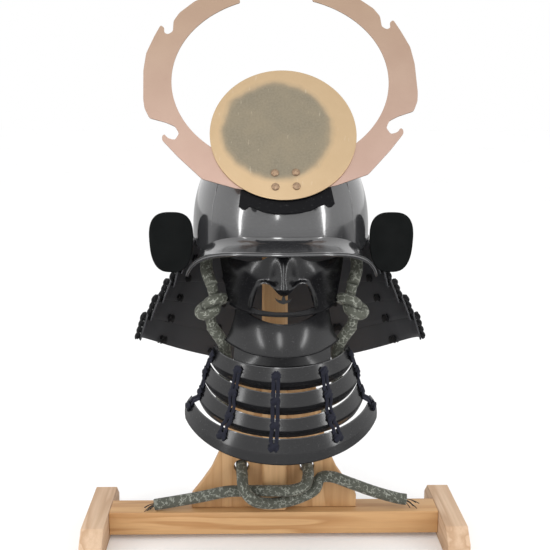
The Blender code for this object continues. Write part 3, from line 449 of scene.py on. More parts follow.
def make_disc_brass():
    """Aged brass: bright toward the edge, tarnished olive grey in a soft patch in the middle, scratched."""
    made, coords = new_material("disc_brass", "UV")
    wobble = noise(coords, 30, 4, 0.6)
    soft = mixed(0.012, coords, noise(coords, 38, 4, output="Color"), "ADD")
    centred = placed(soft, Location=(0.001, -0.010, 0))
    distance = add("ShaderNodeVectorMath", {0: centred}, operation="LENGTH").outputs["Value"]
    patch = ramp(distance, (0.0575, 1.0), (0.0645, 0.0))
    clouds = ramp(wobble, (0.3, 0.0), (0.8, 0.4))
    bright = mixed(clouds, (0.56, 0.410, 0.25), (0.47, 0.325, 0.18))
    speckle = noise(coords, 420, 3)
    dull = ramp(speckle, (0.3, (0.195, 0.168, 0.118)), (0.7, (0.240, 0.207, 0.150)))
    stained = mixed(ramp(wobble, (0.35, 0.0), (0.7, 0.5)), dull, (0.29, 0.24, 0.16))
    colour = mixed(patch, bright, stained)
    lines = ramp(noise(placed(coords, Scale=(5, 1, 1)), 60, 3), (0.68, 0.0), (0.71, 1.0))
    return finish_look(made, {
        "Base Color": mixed(mixed(lines, 0.0, 0.18), colour, (0.74, 0.66, 0.52)),
        "Roughness": mixed(patch, 0.38, 0.62), "Metallic": mixed(patch, 0.85, 0.35),
        "Normal": bump(speckle, 0.10, 0.0003)})


def make_brass():
    """Brass of the rivets, dark in its low places."""
    made, coords = new_material("rivet_brass")
    spots = noise(coords, 500, 3)
    return finish_look(made, {
        "Base Color": ramp(spots, (0.3, (0.24, 0.16, 0.10)), (0.7, (0.42, 0.29, 0.19))),
        "Roughness": ramp(spots, (0.3, 0.6), (0.7, 0.4)), "Metallic": 0.7})


def make_lace(name, deep, pale):
    """Flat braid: u runs along it and v round it, in metres."""
    made, coords = new_material(name, "UV")
    slant = placed(coords, Rotation=(0, 0, math.radians(45)))
    weave = mixed(1.0, wave(slant, 260, 0.6), wave(slant, 260, 0.6, "Y"), "MULTIPLY")
    return finish_look(made, {
        "Base Color": ramp(weave, (0.0, deep), (0.8, pale)), "Roughness": 0.82,
        "Sheen Weight": 0.04, "Normal": bump(weave, 0.5, 0.0006)})


def make_brocade():
    """The cord's cover: grey green with broken pale curls woven in."""
    made, coords = new_material("brocade", "UV")
    bent = mixed(0.008, coords, noise(coords, 210, 2, output="Color"), "ADD")
    cells = add("ShaderNodeTexVoronoi", {"Vector": bent, "Scale": 180.0}, feature="DISTANCE_TO_EDGE")
    lines = ramp(cells.outputs["Distance"], (0.05, 1.0), (0.11, 0.0))
    broken = ramp(noise(coords, 150, 2), (0.46, 0.0), (0.52, 1.0))
    drawn = mixed(1.0, lines, broken, "MULTIPLY")
    fibre = noise(placed(coords, Scale=(3, 1, 1)), 1200, 2)
    ground = ramp(fibre, (0.3, (0.050, 0.054, 0.041)), (0.7, (0.102, 0.106, 0.083)))
    thread = ramp(fibre, (0.3, (0.18, 0.19, 0.16)), (0.7, (0.34, 0.35, 0.30)))
    raised = mixed(0.5, wave(coords, 320, 1.0), drawn)
    return finish_look(made, {
        "Base Color": mixed(drawn, ground, thread), "Roughness": 0.75, "Sheen Weight": 0.05,
        "Normal": bump(raised, 0.35, 0.0006)})


def make_string():
    """Dark thread at the cord's ends."""
    made, coords = new_material("dark_thread")
    fuzz = noise(coords, 1500, 2)
    colour = ramp(fuzz, (0.3, (0.02, 0.018, 0.015)), (0.7, (0.07, 0.06, 0.05)))
    return finish_look(made, {"Base Color": colour, "Roughness": 0.9})


def make_pale_floor():
    """Nearly white. Glossy reflections see it painted dark near the stand and paler further off: a painted
    reflection.
    """
    made, coords = new_material("pale_floor")
    pale = ramp(noise(coords, 3, 3), (0.3, 0.93), (0.7, 0.96))
    share = axis_share(coords, "Y", -2.0, 1.0)
    painted_reflection = ramp(share, (0.0, 0.8), (0.25, 0.55), (0.46, 0.03), (0.70, 0.03), (0.93, 0.45))
    return finish_look(made, {
        "Base Color": for_gloss(pale, painted_reflection), "Roughness": 0.8, "Specular IOR Level": 0.0,
        "Emission Color": (1, 1, 1, 1), "Emission Strength": 0.06})


# One black lacquer in copies of different darkness and gloss. The bowl's copy is the lighter one with full
# gloss; the guard's and the face's are darker and duller, painted shade for parts that sit in shade.
LACQUER = make_lacquer("black_lacquer", (0.026, 0.026, 0.028), 0.14, 0.24)
GUARD_LACQUER_PAINTED_SHADE = make_lacquer("guard_lacquer_painted_shade", (0.006, 0.006, 0.007), 0.18, 0.28, gloss=0.43, blur=0.20)
INSIDE_LACQUER = make_lacquer("inside_lacquer", (0.048, 0.049, 0.054), 0.35, 0.50, gloss=0.30, blur=0.35)
FACE_LACQUER_PAINTED_SHADE = make_lacquer("face_lacquer_painted_shade", (0.004, 0.004, 0.005), 0.16, 0.28, gloss=0.40, blur=0.20)
HOLDER_BLACK_PAINTED_SHADE = make_lacquer("holder_black_painted_shade", (0.002, 0.002, 0.003), 0.35, 0.50, gloss=0.12, blur=0.40)
MATTE = make_matte_black()
# Three copies of one pine: the feet's is painted lighter as painted light, the bar's darker as painted shade
# under the helmet, and the board's sits between.
PINE_BAR_PAINTED_SHADE = make_pine("pine_bar_painted_shade", "X", (0.62, 0.370, 0.170), (0.46, 0.235, 0.090), (0.3, 0.05, 0.06))
PINE_FEET_PAINTED_LIGHT = make_pine("pine_feet_painted_light", "Y", (0.72, 0.520, 0.355), (0.53, 0.335, 0.200), (0.06, 0.2, 0.05))
PINE_Z = make_pine("pine_board", "Z", (0.66, 0.410, 0.205), (0.47, 0.255, 0.105), (0.09, 0.07, 0.1))
COPPER = make_copper()
DISC_BRASS = make_disc_brass()
RIVET_BRASS = make_brass()
NAVY = make_lace("navy_braid", (0.002, 0.0025, 0.008), (0.007, 0.009, 0.034))
BLACK_BRAID = make_lace("black_braid", (0.002, 0.002, 0.003), (0.010, 0.010, 0.012))
BROCADE = make_brocade()
THREAD = make_string()


def dress(piece, look, slot, *nodes):
    """Give a piece its material, let it ride on the stand, and hide the nodes it stands for. The slot is not
    used.
    """
    piece.data.materials.clear()
    piece.data.materials.append(look)
    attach(piece, "root")
    if nodes:
        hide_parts(*nodes)
    return piece


def place_object(name, data):
    made = bpy.data.objects.new(name, data)
    bpy.context.scene.collection.objects.link(made)
    return made


def object_from(name, shape):
    mesh = bpy.data.meshes.new(name)
    shape.to_mesh(mesh)
    shape.free()
    return place_object(name, mesh)


def piece_from(name, shape):
    bmesh.ops.recalc_face_normals(shape, faces=shape.faces)
    return object_from(name, shape)


def dressed_shape(name, shape, look, slot, *nodes, angle=40):
    return dress(smooth_shade(piece_from(name, shape), angle), look, slot, *nodes)


def modify(piece, kind, **settings):
    configure(piece.modifiers.new(kind.lower(), kind), **settings)


def applied(piece):
    """The piece with its modifiers in its mesh."""
    bpy.context.view_layer.update()
    evaluated = piece.evaluated_get(bpy.context.evaluated_depsgraph_get())
    mesh = bpy.data.meshes.new_from_object(evaluated)
    piece.modifiers.clear()
    piece.data = mesh
    mesh.name = piece.name
    return piece


def smooth_shade(piece, angle=40):
    """Smooth faces, with edges sharper than the angle kept sharp."""
    piece.data.shade_smooth()
    piece.data.set_sharp_from_angle(angle=math.radians(angle))
    return piece


def between(low, high, share):
    return low + (high - low) * share


def spaced(count):
    """Even steps from -1 to 1."""
    return [2 * step / count - 1 for step in range(count + 1)]


def both_halves(right):
    """A closed outline from its right half, whose last point is on the middle line."""
    return right + [(-x, up) for x, up in reversed(right[:-1])]


def shell(name, node, look, across, down, place, wall, outward=False, closed=False, bevel=0.0005):
    """A thin lacquered plate bent as place(u, v) says, its rim rounded over. Its UV holds u and v."""
    grid = bmesh.new()
    uv = grid.loops.layers.uv.new("uv")
    bmesh.ops.create_grid(grid, x_segments=across, y_segments=down, size=0.5)
    shares = {vertex: (vertex.co.x + 0.5, vertex.co.y + 0.5) for vertex in grid.verts}
    for face in grid.faces:
        for corner in face.loops:
            corner[uv].uv = shares[corner.vert]
    for vertex, (u, v) in shares.items():
        vertex.co = place(u, v) + HELMET
    if closed:
        bmesh.ops.remove_doubles(grid, verts=grid.verts, dist=1e-6)
    made = object_from(name, grid)
    modify(made, "SOLIDIFY", thickness=wall, offset=1 if outward else -1, use_even_offset=True)
    modify(made, "BEVEL", width=bevel, segments=2, limit_method="ANGLE", angle_limit=math.radians(50))
    return dress(smooth_shade(applied(made), 60), look, "black_lacquer", node)


def sweep(shape, points, half_width, half_thick, sides=8, normals=None):
    """Add a bar along the points to a bmesh. Its UV is the length along it and round it, in metres."""
    uv = shape.loops.layers.uv.verify()
    count = len(points)
    points = [Vector(point) for point in points]
    ahead = [(points[min(i + 1, count - 1)] - points[max(i - 1, 0)]).normalized() for i in range(count)]
    up = Vector((0.3, 0.2, 0.93)) if abs(ahead[0].z) < 0.9 else Vector((0, 1, 0))
    rings, lengths, walked = [], [], 0.0
    for i, (point, forward) in enumerate(zip(points, ahead)):
        up = normals[i] if normals else up
        up = (up - up.dot(forward) * forward).normalized()
        side = forward.cross(up)
        if i:
            walked += (point - points[i - 1]).length
        lengths.append(walked)
        ring = []
        for k in range(sides):
            angle = 2 * math.pi * k / sides
            offset = side * (half_width * math.cos(angle)) + up * (half_thick * math.sin(angle))
            ring.append(shape.verts.new(point + offset))
        rings.append(ring)
    around = math.pi * (half_width + half_thick)
    for i in range(count - 1):
        for k in range(sides):
            m = (k + 1) % sides
            face = shape.faces.new((rings[i][k], rings[i][m], rings[i + 1][m], rings[i + 1][k]))
            places = ((i, k), (i, k + 1), (i + 1, k + 1), (i + 1, k))
            for corner, (step, turn) in zip(face.loops, places):
                corner[uv].uv = (lengths[step], around * turn / sides)
            face.smooth = True
    for ring, length in ((rings[0][::-1], 0.0), (rings[-1], walked)):
        for corner in shape.faces.new(ring).loops:
            corner[uv].uv = (length, 0)


def bar(name, points, radius, look, slot, *nodes, sides=8, half_thick=None):
    """A piece swept along the points, round unless its half thickness is given."""
    shape = bmesh.new()
    sweep(shape, points, radius, half_thick or radius, sides)
    return dressed_shape(name, shape, look, slot, *nodes)


def smooth_route(points, spacing):
    """Points about this far apart on a smooth curve through the route's own points."""
    route = [Vector(point) for point in points]
    ends = [2 * route[0] - route[1]] + route + [2 * route[-1] - route[-2]]
    fine = []
    for before, start, end, after in zip(ends, ends[1:], ends[2:], ends[3:]):
        for step in range(24):
            t = step / 24
            bend = 2 * before - 5 * start + 4 * end - after
            twist = 3 * start - before - 3 * end + after
            fine.append(0.5 * (2 * start + (end - before) * t + bend * t * t + twist * t**3))
    fine.append(route[-1])
    length = sum((b - a).length for a, b in zip(fine, fine[1:]))
    count = max(2, round(length / spacing))
    chosen = [fine[0]]
    walked = 0
    for a, b in zip(fine, fine[1:]):
        walked += (b - a).length
        if walked >= length * len(chosen) / count and len(chosen) < count:
            chosen.append(b)
    return chosen + [fine[-1]]


def route_length(points):
    return sum((b - a).length for a, b in zip(points, points[1:]))


def bowl_size(z):
    shoulder = BOWL_RIM_Z + BROW_RISE
    rise = max(0.0, (z - shoulder) / (BOWL_HEIGHT - BROW_RISE))
    return (1 - min(rise, 1.0) ** BOWL_ROUNDNESS) ** (1 / BOWL_ROUNDNESS)


def rim_height(angle):
    turn = min(abs(angle) / BROW_HALF_ANGLE, 1)
    return BOWL_RIM_Z + BROW_RISE * 0.5 * (1 + math.cos(math.pi * turn))


def bowl_point(angle, z, stand_off=0.0):
    across, along = (half * bowl_size(z) + stand_off for half in (BOWL_WIDTH / 2, BOWL_LENGTH / 2))
    return Vector((across * math.sin(angle), -along * math.cos(angle), z))


def make_camera():
    data = bpy.data.cameras.new("camera")
    configure(data, lens=CAMERA_LENS, sensor_width=CAMERA_SENSOR, clip_start=CAMERA_CLIP)
    camera = place_object("camera", data)
    turns = Matrix.Rotation(CAMERA_TURN, 4, "Z") @ Matrix.Rotation(CAMERA_DOWN, 4, "X")
    turns = turns @ Matrix.Rotation(CAMERA_ROLL, 4, "Y") @ Matrix.Rotation(math.pi / 2, 4, "X")
    camera.matrix_world = Matrix.Translation(CAMERA_PLACE) @ turns
    bpy.context.scene.camera = camera


def tied_knot(length):
    """An overhand knot drawn tight: a loose one is shortened while its strands push each other apart."""
    spots = []
    for step in range(KNOT_POINTS):
        t = -KNOT_SPAN + 2 * KNOT_SPAN * step / (KNOT_POINTS - 1)
        fade = min(1.0, (KNOT_SPAN - abs(t)) / 0.5)
        x = KNOT_WIDE * fade * (t**3 - 3 * t)
        y = KNOT_TALL * fade * (t**4 - 4 * t * t + 2)
        spots.append((x, y, KNOT_DEEP * (10 * t - t**5)))
    points = np.array(spots)
    ends = np.array([[0, 0, length / 2], [0, 0, -length / 2]])
    points[:, 2] *= length / 2 / abs(points[0, 2])
    apart = np.abs(np.subtract.outer(np.arange(KNOT_POINTS), np.arange(KNOT_POINTS)))
    start = np.linalg.norm(np.diff(points, axis=0), axis=1).sum()
    for step in range(KNOT_STEPS):
        share = min(1.0, step / (KNOT_STEPS * 0.8))
        span = (start + (KNOT_ROPE - start) * share) / (KNOT_POINTS - 1)
        for _ in range(6):
            run = np.diff(points, axis=0)
            size = np.linalg.norm(run, axis=1, keepdims=True)
            pull = run * (1 - span / size) * 0.5
            points[:-1] += pull * 0.9
            points[1:] -= pull * 0.9
            points[0], points[-1] = ends
        gaps = points[:, None] - points[None]
        distance = np.linalg.norm(gaps, axis=2) + 1e-9
        near = (distance < KNOT_PACKING) & (apart * span > KNOT_PACKING * 1.35)
        push = gaps / distance[..., None] * (KNOT_PACKING - distance)[..., None]
        points += np.where(near[..., None], push, 0).sum(axis=1) * KNOT_PUSH
        points[1:-1] += (points[:-2] + points[2:] - 2 * points[1:-1]) * KNOT_SMOOTHING
        points[0], points[-1] = ends
    return points


def cord_down(side, front):
    """A cord's way from its cheek knot behind the lames, through the board and along in front of it."""
    sign = SIDES[side]
    top = KNOT_PLACE - Vector((0, 0, KNOT_LENGTH / 2 + KNOT_END_GAP))
    route = [Vector((sign * x, y, z)) + HELMET for x, y, z in [top[:], *CORD_BEHIND_LAMES]]
    return route + [(sign * x, y, z) for x, y, z in CORD_BEHIND_BOARD] + list(front)


def cord_over_head():
    """The hidden stretch between the cheek knots, round inside the bowl's back."""
    inside = BOWL_WALL + CORD_RADIUS + 2 * CLEARANCE
    side, rear = BOWL_WIDTH / 2 - inside, BOWL_LENGTH / 2 - inside
    right = [(KNOT_PLACE + Vector((0, 0, KNOT_LENGTH / 2 + KNOT_END_GAP)))[:], *CORD_UP_TO_BOWL]
    left = [(-x, y, z) for x, y, z in right]
    hidden = []
    for step in range(9):
        angle = math.radians(-92 + 23 * step)
        hidden.append((side * math.sin(angle), rear * math.cos(angle), CROWN_CORD_Z))
    return [Vector(point) + HELMET for point in left + hidden + right[::-1]]


def cord_piece(name, route, node):
    path = smooth_route(route, 0.004)
    return bar(name, path, CORD_RADIUS, BROCADE, "cord_green", node, sides=16), path


def make_knot(side, points):
    """The overhand knot at one cheek."""
    sign = SIDES[side]
    middle = HELMET + Vector((sign * KNOT_PLACE.x, KNOT_PLACE.y, KNOT_PLACE.z))
    path = [middle + Vector((sign * x * KNOT_SQUEEZE, y, z)) for x, y, z in points]
    path = smooth_route(path, 0.0022)
    return bar(f"cheek_knot_{side}", path, KNOT_CORD_RADIUS, BROCADE, "cord_green", f"knot_{side}", sides=16)


def make_cords():
    """The chin cord in three stretches, with a knot at each cheek between them."""
    tied = tied_knot(KNOT_LENGTH + 2 * KNOT_END_GAP)
    knots = {side: make_knot(side, tied) for side in SIDES}
    piece, path = cord_piece("chin_cord_over_head", cord_over_head(), "cord_crown")
    tuple(path[0])
    route_length(path)
    [tuple(point) for point in path]
    for side, front in (("left", CORD_LEFT_FRONT), ("right", CORD_RIGHT_FRONT)):
        piece, path = cord_piece(f"chin_cord_{side}", cord_down(side, front), f"cord_{side}")
        tuple(path[0])
        route_length(path)
        [tuple(point) for point in path]
        frayed_end(side, path)


def frayed_end(side, path):
    """Dark threads that trail from a cord's cut end."""
    draw = random.Random(FRAY_SEEDS[side])
    ahead = (path[-1] - path[-2]).normalized()
    shape = bmesh.new()
    for _ in range(FRAY_THREADS):
        spread = Vector([draw.uniform(-1, 1) for _ in range(3)]) * FRAY_SPREAD
        reach = draw.uniform(FRAY_SHORT, FRAY_LONG)
        points = []
        for step in range(6):
            t = step / 5
            fall = Vector((0, 0, -FRAY_FALL * t * t))
            points.append(path[-1] - ahead * FRAY_ROOT + ahead * reach * t + spread * (0.4 + t) + fall)
        sweep(shape, points, FRAY_RADIUS, FRAY_RADIUS, sides=5)
    dress(piece_from(f"frayed_threads_{side}", shape), THREAD, "cord_green")


make_camera()
make_cords()


def make_bowl():
    """The bowl with two fine seams, and its peak that flows out of it to a rolled rim."""
    shoulder = BOWL_RIM_Z + BROW_RISE

    def dome(u, v):
        angle = 2 * math.pi * u
        turn = angle if angle <= math.pi else angle - 2 * math.pi
        low = rim_height(turn)
        return bowl_point(turn, between(low, BOWL_RIM_Z + BOWL_HEIGHT, math.sin(v * math.pi / 2)))

    shell("bowl_shell", "bowl", LACQUER, 144, 40, dome, BOWL_WALL, closed=True)

    def peak_point(side, v):
        """From the bowl's surface over a hollow fillet to the peak's outer edge."""
        angle, share = side * PEAK_HALF_ANGLE, abs(side)
        inner = bowl_point(angle, shoulder, CLEARANCE + PEAK_WALL * (PEAK_SEAT + PEAK_SEAT_MORE * share))
        inner.z -= (PEAK_TIP_DROP - PEAK_DROP) * share**PEAK_DROOP
        start = bowl_point(angle, max(inner.z + PEAK_FILLET, shoulder), -PEAK_SUNK)
        start.z = inner.z + PEAK_FILLET
        outer = bowl_point(angle, shoulder, between(PEAK_REACH, PEAK_SIDE_REACH, share**2))
        outer.z -= PEAK_DROP + PEAK_TIP_DROP * share**PEAK_DROOP
        return start.lerp(inner, v).lerp(inner.lerp(outer, v), v)

    def peak(u, v):
        return peak_point(2 * u - 1, v)

    shell("peak_shell", "brow_peak", LACQUER, 96, 20, peak, PEAK_WALL)
    edges = (("peak_rim", 1.0, PEAK_RIM, PEAK_WALL / 2), ("peak_line", 1 - PEAK_LINE_IN, PEAK_RIM / 3, 0))
    for name, level, radius, drop in edges:
        route = [peak_point(side, level) + HELMET - Vector((0, 0, drop)) for side in spaced(96)]
        bar(name, route, radius, LACQUER, "black_lacquer", sides=10)
    for side, sign in SIDES.items():
        heights = [shoulder + (BOWL_HEIGHT - BROW_RISE) * (0.06 + 0.9 * step / 32) for step in range(33)]
        route = [bowl_point(sign * SEAM_ANGLE, z) + HELMET for z in heights]
        bar(f"bowl_seam_{side}", route, SEAM_HALF_WIDTH, LACQUER, "black_lacquer", half_thick=SEAM_RISE)


def rounded_slab(name, outline, thickness, place, look, slot, node, bevel):
    """A flat plate with rounded edges. Place turns its own frame to the scene's. Its UV is in metres."""
    shape = bmesh.new()
    uv = shape.loops.layers.uv.new("uv")
    rings = []
    for depth in (thickness / 2, -thickness / 2):
        rings.append([shape.verts.new((x, y, depth)) for x, y in outline])
    shape.faces.new(rings[0])
    shape.faces.new(rings[1][::-1])
    count = len(outline)
    for i in range(count):
        k = (i + 1) % count
        shape.faces.new((rings[0][k], rings[0][i], rings[1][i], rings[1][k]))
    bmesh.ops.recalc_face_normals(shape, faces=shape.faces)
    edges = [edge for edge in shape.edges if abs(edge.verts[0].co.z - edge.verts[1].co.z) < 1e-9]
    bmesh.ops.bevel(shape, geom=edges, offset=bevel, segments=2, affect="EDGES", profile=0.5)
    bmesh.ops.triangulate(shape, faces=[face for face in shape.faces if len(face.verts) > 4])
    for face in shape.faces:
        for corner in face.loops:
            corner[uv].uv = corner.vert.co.xy
    for vertex in shape.verts:
        vertex.co = place @ vertex.co
    return dressed_shape(name, shape, look, slot, node, angle=20)


def make_turnbacks():
    """The two turned-back plates beside the bowl, dull black with softly rounded edges."""
    beside = BOWL_WIDTH / 2 * math.sqrt(1 - (NECK_FRONT_Y / (BOWL_LENGTH / 2)) ** 2)
    x = beside + 2 * CLEARANCE + TURNBACK_WIDTH / 2 * (1 + TURNBACK_TAPER)
    y = NECK_FRONT_Y - 3 * CLEARANCE - TURNBACK_THICKNESS / 2
    outline = []
    for step in range(96):
        angle = 2 * math.pi * step / 96
        across = math.copysign(abs(math.cos(angle)) ** 0.7, math.cos(angle))
        up = math.copysign(abs(math.sin(angle)) ** 0.75, math.sin(angle))
        width = TURNBACK_WIDTH / 2 * (1 + TURNBACK_TAPER * up)
        outline.append((width * across, TURNBACK_HEIGHT / 2 * up))
    for side, sign in SIDES.items():
        spot = HELMET + Vector((sign * x, y, BOWL_RIM_Z + TURNBACK_RISE))
        place = Matrix.Translation(spot) @ Matrix.Rotation(math.pi / 2, 4, "X")
        rounded_slab(
            f"turned_plate_{side}", outline, TURNBACK_THICKNESS, place, MATTE, "matte_black",
            f"turnback_{side}", bevel=0.0012)


def neck_edges(index):
    """A lame's upper and lower edges: drops at the front and back, and reaches at the side and rear."""
    row = NECK_LAMES[index]
    side, rear = BOWL_WIDTH / 2 + CLEARANCE, BOWL_LENGTH / 2 + CLEARANCE
    low = (
        NECK_FRONT_DROP * row["front"], NECK_BACK_DROP * row["back"],
        side + NECK_SIDE_FLARE * row["flare"], rear + NECK_BACK_FLARE * row["flare"])
    if index == 0:
        return (-NECK_LAP, -NECK_LAP, side, rear), low
    above = neck_edges(index - 1)[1]
    return [edge + more for edge, more in zip(above, (-NECK_LAP, -NECK_LAP, NECK_STEP, NECK_STEP))], low


def neck_point(index, turn, v, stand_off=0.0):
    """A point on a neck lame: turn runs from -1 to 1 between its front ends, and v from top to bottom."""
    front_drop, back_drop, side, rear = (between(*edges, v) for edges in zip(*neck_edges(index)))
    side += stand_off
    rear += stand_off
    last = math.acos(NECK_FRONT_Y / rear)
    angle = turn * last
    ahead = (max(0.0, math.cos(angle) - math.cos(last)) / (1 - math.cos(last))) ** NECK_SWEEP
    drop = between(front_drop, back_drop, ahead)
    return Vector((side * math.sin(angle), rear * math.cos(angle), BOWL_RIM_Z - drop))


def lace_strand(shape, at, places, size=1.0):
    """One flat braid through places: at(*place) gives a point, and a place's last value is its stand-off."""
    points = [at(*place) for place in places]
    outward = [(at(*start, off + 0.01) - point).normalized() for (*start, off), point in zip(places, points)]
    sweep(shape, points, LACE_HALF_WIDTH * size, LACE_HALF_THICK * size, normals=outward)


def lace_knot(shape, at, level, half_height, off):
    """A chunky crossed knot lying on a plate: at(across, v, stand_off) gives points on it."""
    for sign, lift in ((1, 0.0), (-1, LACE_LIFT)):
        places = []
        for step in range(9):
            t = step / 8
            raised = off + lift * math.sin(math.pi * t) + LACE_PROUD
            places.append((sign * LACE_APART * (2 * t - 1), level + half_height * (2 * t - 1), raised))
        lace_strand(shape, at, places, KNOT_LACE_SIZE)


def make_neck_guard():
    """Five flared lames round the neck, laced in columns, with a rope edge at both front ends."""
    for index in range(len(NECK_LAMES)):

        def lame(u, v, index=index):
            return neck_point(index, 1 - 2 * u, 1 - v)

        name, node = f"neck_plate_{index + 1}", f"neck_lame_{index + 1}"
        plate = shell(name, node, GUARD_LACQUER_PAINTED_SHADE, 120, 6, lame, NECK_WALL, outward=True)
        plate.data.materials.append(INSIDE_LACQUER)
        for face in plate.data.polygons:
            face.material_index = int(face.normal.dot(face.center - HELMET) < 0)
    for number, turn in enumerate(NECK_LACES, start=1):
        shape = bmesh.new()
        if abs(turn) > 0.9:
            rope_edge(shape, turn)
        else:
            neck_column(shape, turn)
        dressed_shape(f"neck_lacing_{number}", shape, BLACK_BRAID, "navy_lace", f"neck_lace_{number}")


def neck_column(shape, turn):
    """Two laces down one column of the neck guard, crossed at the top of every lame, outside and inside."""
    off = NECK_WALL + LACE_HALF_THICK
    for index in range(len(NECK_LAMES)):

        def outside(across, v, stand_off, index=index):
            return neck_point(index, turn + across / (BOWL_WIDTH / 2) / NECK_ARC, v, stand_off) + HELMET

        def inside(across, v, stand_off, outside=outside):
            return outside(across, v, -stand_off)

        lace_knot(shape, outside, NECK_KNOT_LEVEL, NECK_KNOT_HALF, off)
        lace_knot(shape, inside, INSIDE_KNOT_LEVEL, INSIDE_KNOT_HALF, LACE_HALF_THICK + CLEARANCE)
        for across in (-LACE_APART / 2, LACE_APART / 2):
            lace_strand(shape, outside, [(across, v, off) for v in (0.30, 0.5, 0.75, 1.0)])


def rope_edge(shape, turn):
    """Two twisted strands that run down the front ends of the lames."""
    route = []
    for index in range(len(NECK_LAMES)):
        for v in (0.0, 0.35, 0.7, 0.98):
            route.append(neck_point(index, turn, v, NECK_WALL + ROPE_RADIUS) + HELMET)
    middle = smooth_route(route, ROPE_STEP)
    for phase in (0, math.pi):
        strand = []
        for step, point in enumerate(middle):
            angle = step * ROPE_TWIST + phase
            strand.append(point + Vector((math.cos(angle), math.sin(angle), 0)) * ROPE_STRAND_OUT)
        sweep(shape, strand, ROPE_STRAND_RADIUS, ROPE_STRAND_RADIUS, sides=7)


def crest_plane_y(z):
    """Where the disc's front is at this height, when the holder behind it rests on the bowl's front."""
    rise, run = math.sin(CREST_LEAN), math.cos(CREST_LEAN)
    reach = 0
    for step in range(100):
        bowl_z = BOWL_RIM_Z + BROW_RISE + (BOWL_HEIGHT - BROW_RISE) * step / 100
        reach = max(reach, BOWL_LENGTH / 2 * bowl_size(bowl_z) * run + bowl_z * rise)
    stack = 2 * PLATE_THICKNESS + HOLDER_THICKNESS + 3 * CLEARANCE
    return (z * rise - reach - stack) / run


def rounded(points, most=1.0):
    """A closed outline with its corners cut smooth, each by a quarter of its edges or by most, in metres."""
    for _ in range(2):
        softer = []
        for before, after in zip(points, points[1:] + points[:1]):
            share = min(0.25, most / max(math.dist(before, after), 1e-6))
            for cut in (share, 1 - share):
                softer.append(tuple(between(low, high, cut) for low, high in zip(before, after)))
        points = softer
    return points


def make_crest():
    """The crest on its leaning plane: copper ring, brass disc, a near-black lacquered holder that is partly
    painted shade, and four rivets.
    """
    centre_z = BOWL_RIM_Z + BOWL_HEIGHT - CREST_BELOW_TOP
    spot = HELMET + Vector((0, crest_plane_y(centre_z), centre_z))
    plane = Matrix.Translation(spot) @ Matrix.Rotation(math.pi / 2 - CREST_LEAN, 4, "X")
    plane = plane @ Matrix.Rotation(-CREST_ROLL, 4, "Z")

    def behind(depth):
        return plane @ Matrix.Translation((0, 0, -depth))

    turns = [2 * math.pi * step / 160 for step in range(160)]
    outline = [(DISC_RADIUS * math.cos(turn), DISC_RADIUS * math.sin(turn)) for turn in turns]
    place = behind(PLATE_THICKNESS / 2)
    rounded_slab(
        "crest_disc_plate", outline, PLATE_THICKNESS, place, DISC_BRASS, "brass", "crest_disc",
        bevel=0.0004)

    half_width, half_height = RING_OPENING_WIDTH / 2, RING_OPENING_HEIGHT / 2
    turns = [RING_TIP_ANGLE + (math.pi - RING_TIP_ANGLE) * step / 72 for step in range(72, -1, -1)]
    inner = [(half_width * math.sin(turn), RING_CENTRE_UP + half_height * math.cos(turn)) for turn in turns]
    outer = [(half_width * x, half_height * up) for x, up in RING_OUTER]
    outline = rounded(both_halves(inner + outer)[:-1], RING_CORNER_CUT)
    depth = PLATE_THICKNESS + CLEARANCE
    place = behind(depth + PLATE_THICKNESS / 2)
    rounded_slab(
        "crest_ring_plate", outline, PLATE_THICKNESS, place, COPPER, "copper", "crest_ring", bevel=0.0003)

    # The holder is a real mount, made near black and nearly glossless so it also stands for the dark shade
    # and reflection under the crest: painted shade.
    depth += PLATE_THICKNESS + CLEARANCE
    half = HOLDER_WIDTH / 2
    top = [(half * HOLDER_TOP_SHARE, HOLDER_HEIGHT - HOLDER_DOWN)]
    edge = [(half * x, HOLDER_HEIGHT * up - HOLDER_DOWN) for x, up in HOLDER_EDGE]
    place = behind(depth + HOLDER_THICKNESS / 2)
    rounded_slab(
        "crest_holder_plate", both_halves(top + edge), HOLDER_THICKNESS, place, HOLDER_BLACK_PAINTED_SHADE,
        "black_lacquer", "crest_holder", bevel=0.0005)

    places = [(x, up) for up in (0.5, -0.5) for x in (-0.5, 0.5)]
    for number, (x, up) in enumerate(places, start=1):
        shape = bmesh.new()
        bmesh.ops.create_uvsphere(shape, u_segments=20, v_segments=12, radius=RIVET_RADIUS)
        bmesh.ops.bisect_plane(
            shape, geom=shape.verts[:] + shape.edges[:] + shape.faces[:], plane_co=(0, 0, 0),
            plane_no=(0, 0, 1), clear_inner=True)
        bmesh.ops.holes_fill(shape, edges=[edge for edge in shape.edges if edge.is_boundary])
        middle = Vector((x * RIVET_SPACING_X, RIVET_CENTRE_UP + up * RIVET_SPACING_UP, CLEARANCE))
        flat = Matrix.Diagonal((1, 1, RIVET_HEIGHT / RIVET_RADIUS, 1))
        for vertex in shape.verts:
            vertex.co = plane @ (middle + flat @ vertex.co)
        dressed_shape(f"rivet_head_{number}", shape, RIVET_BRASS, "brass", f"crest_rivet_{number}", angle=50)


def mask_half_width(z):
    share = (z - MASK_BOTTOM_Z) / (MASK_TOP_Z - MASK_BOTTOM_Z)
    return between(MASK_BOTTOM_WIDTH, MASK_TOP_WIDTH, share**0.6) / 2


def mask_depth(x, z):
    share = max(0.0, (z - MASK_BOTTOM_Z) / (MASK_TOP_Z - MASK_BOTTOM_Z))
    side_y = between(MASK_BOTTOM_SIDE_Y, MASK_TOP_SIDE_Y, share**0.7)
    reach = x / mask_half_width(max(z, MASK_BOTTOM_Z))
    return MASK_FRONT_Y + (side_y - MASK_FRONT_Y) * reach * reach


def mask_low_edge(side):
    """How high the mask's lower edge is, from one side at -1 to the other at 1."""
    return MASK_BOTTOM_Z + MOUTH_BAR * 1.2 * abs(side) ** 5


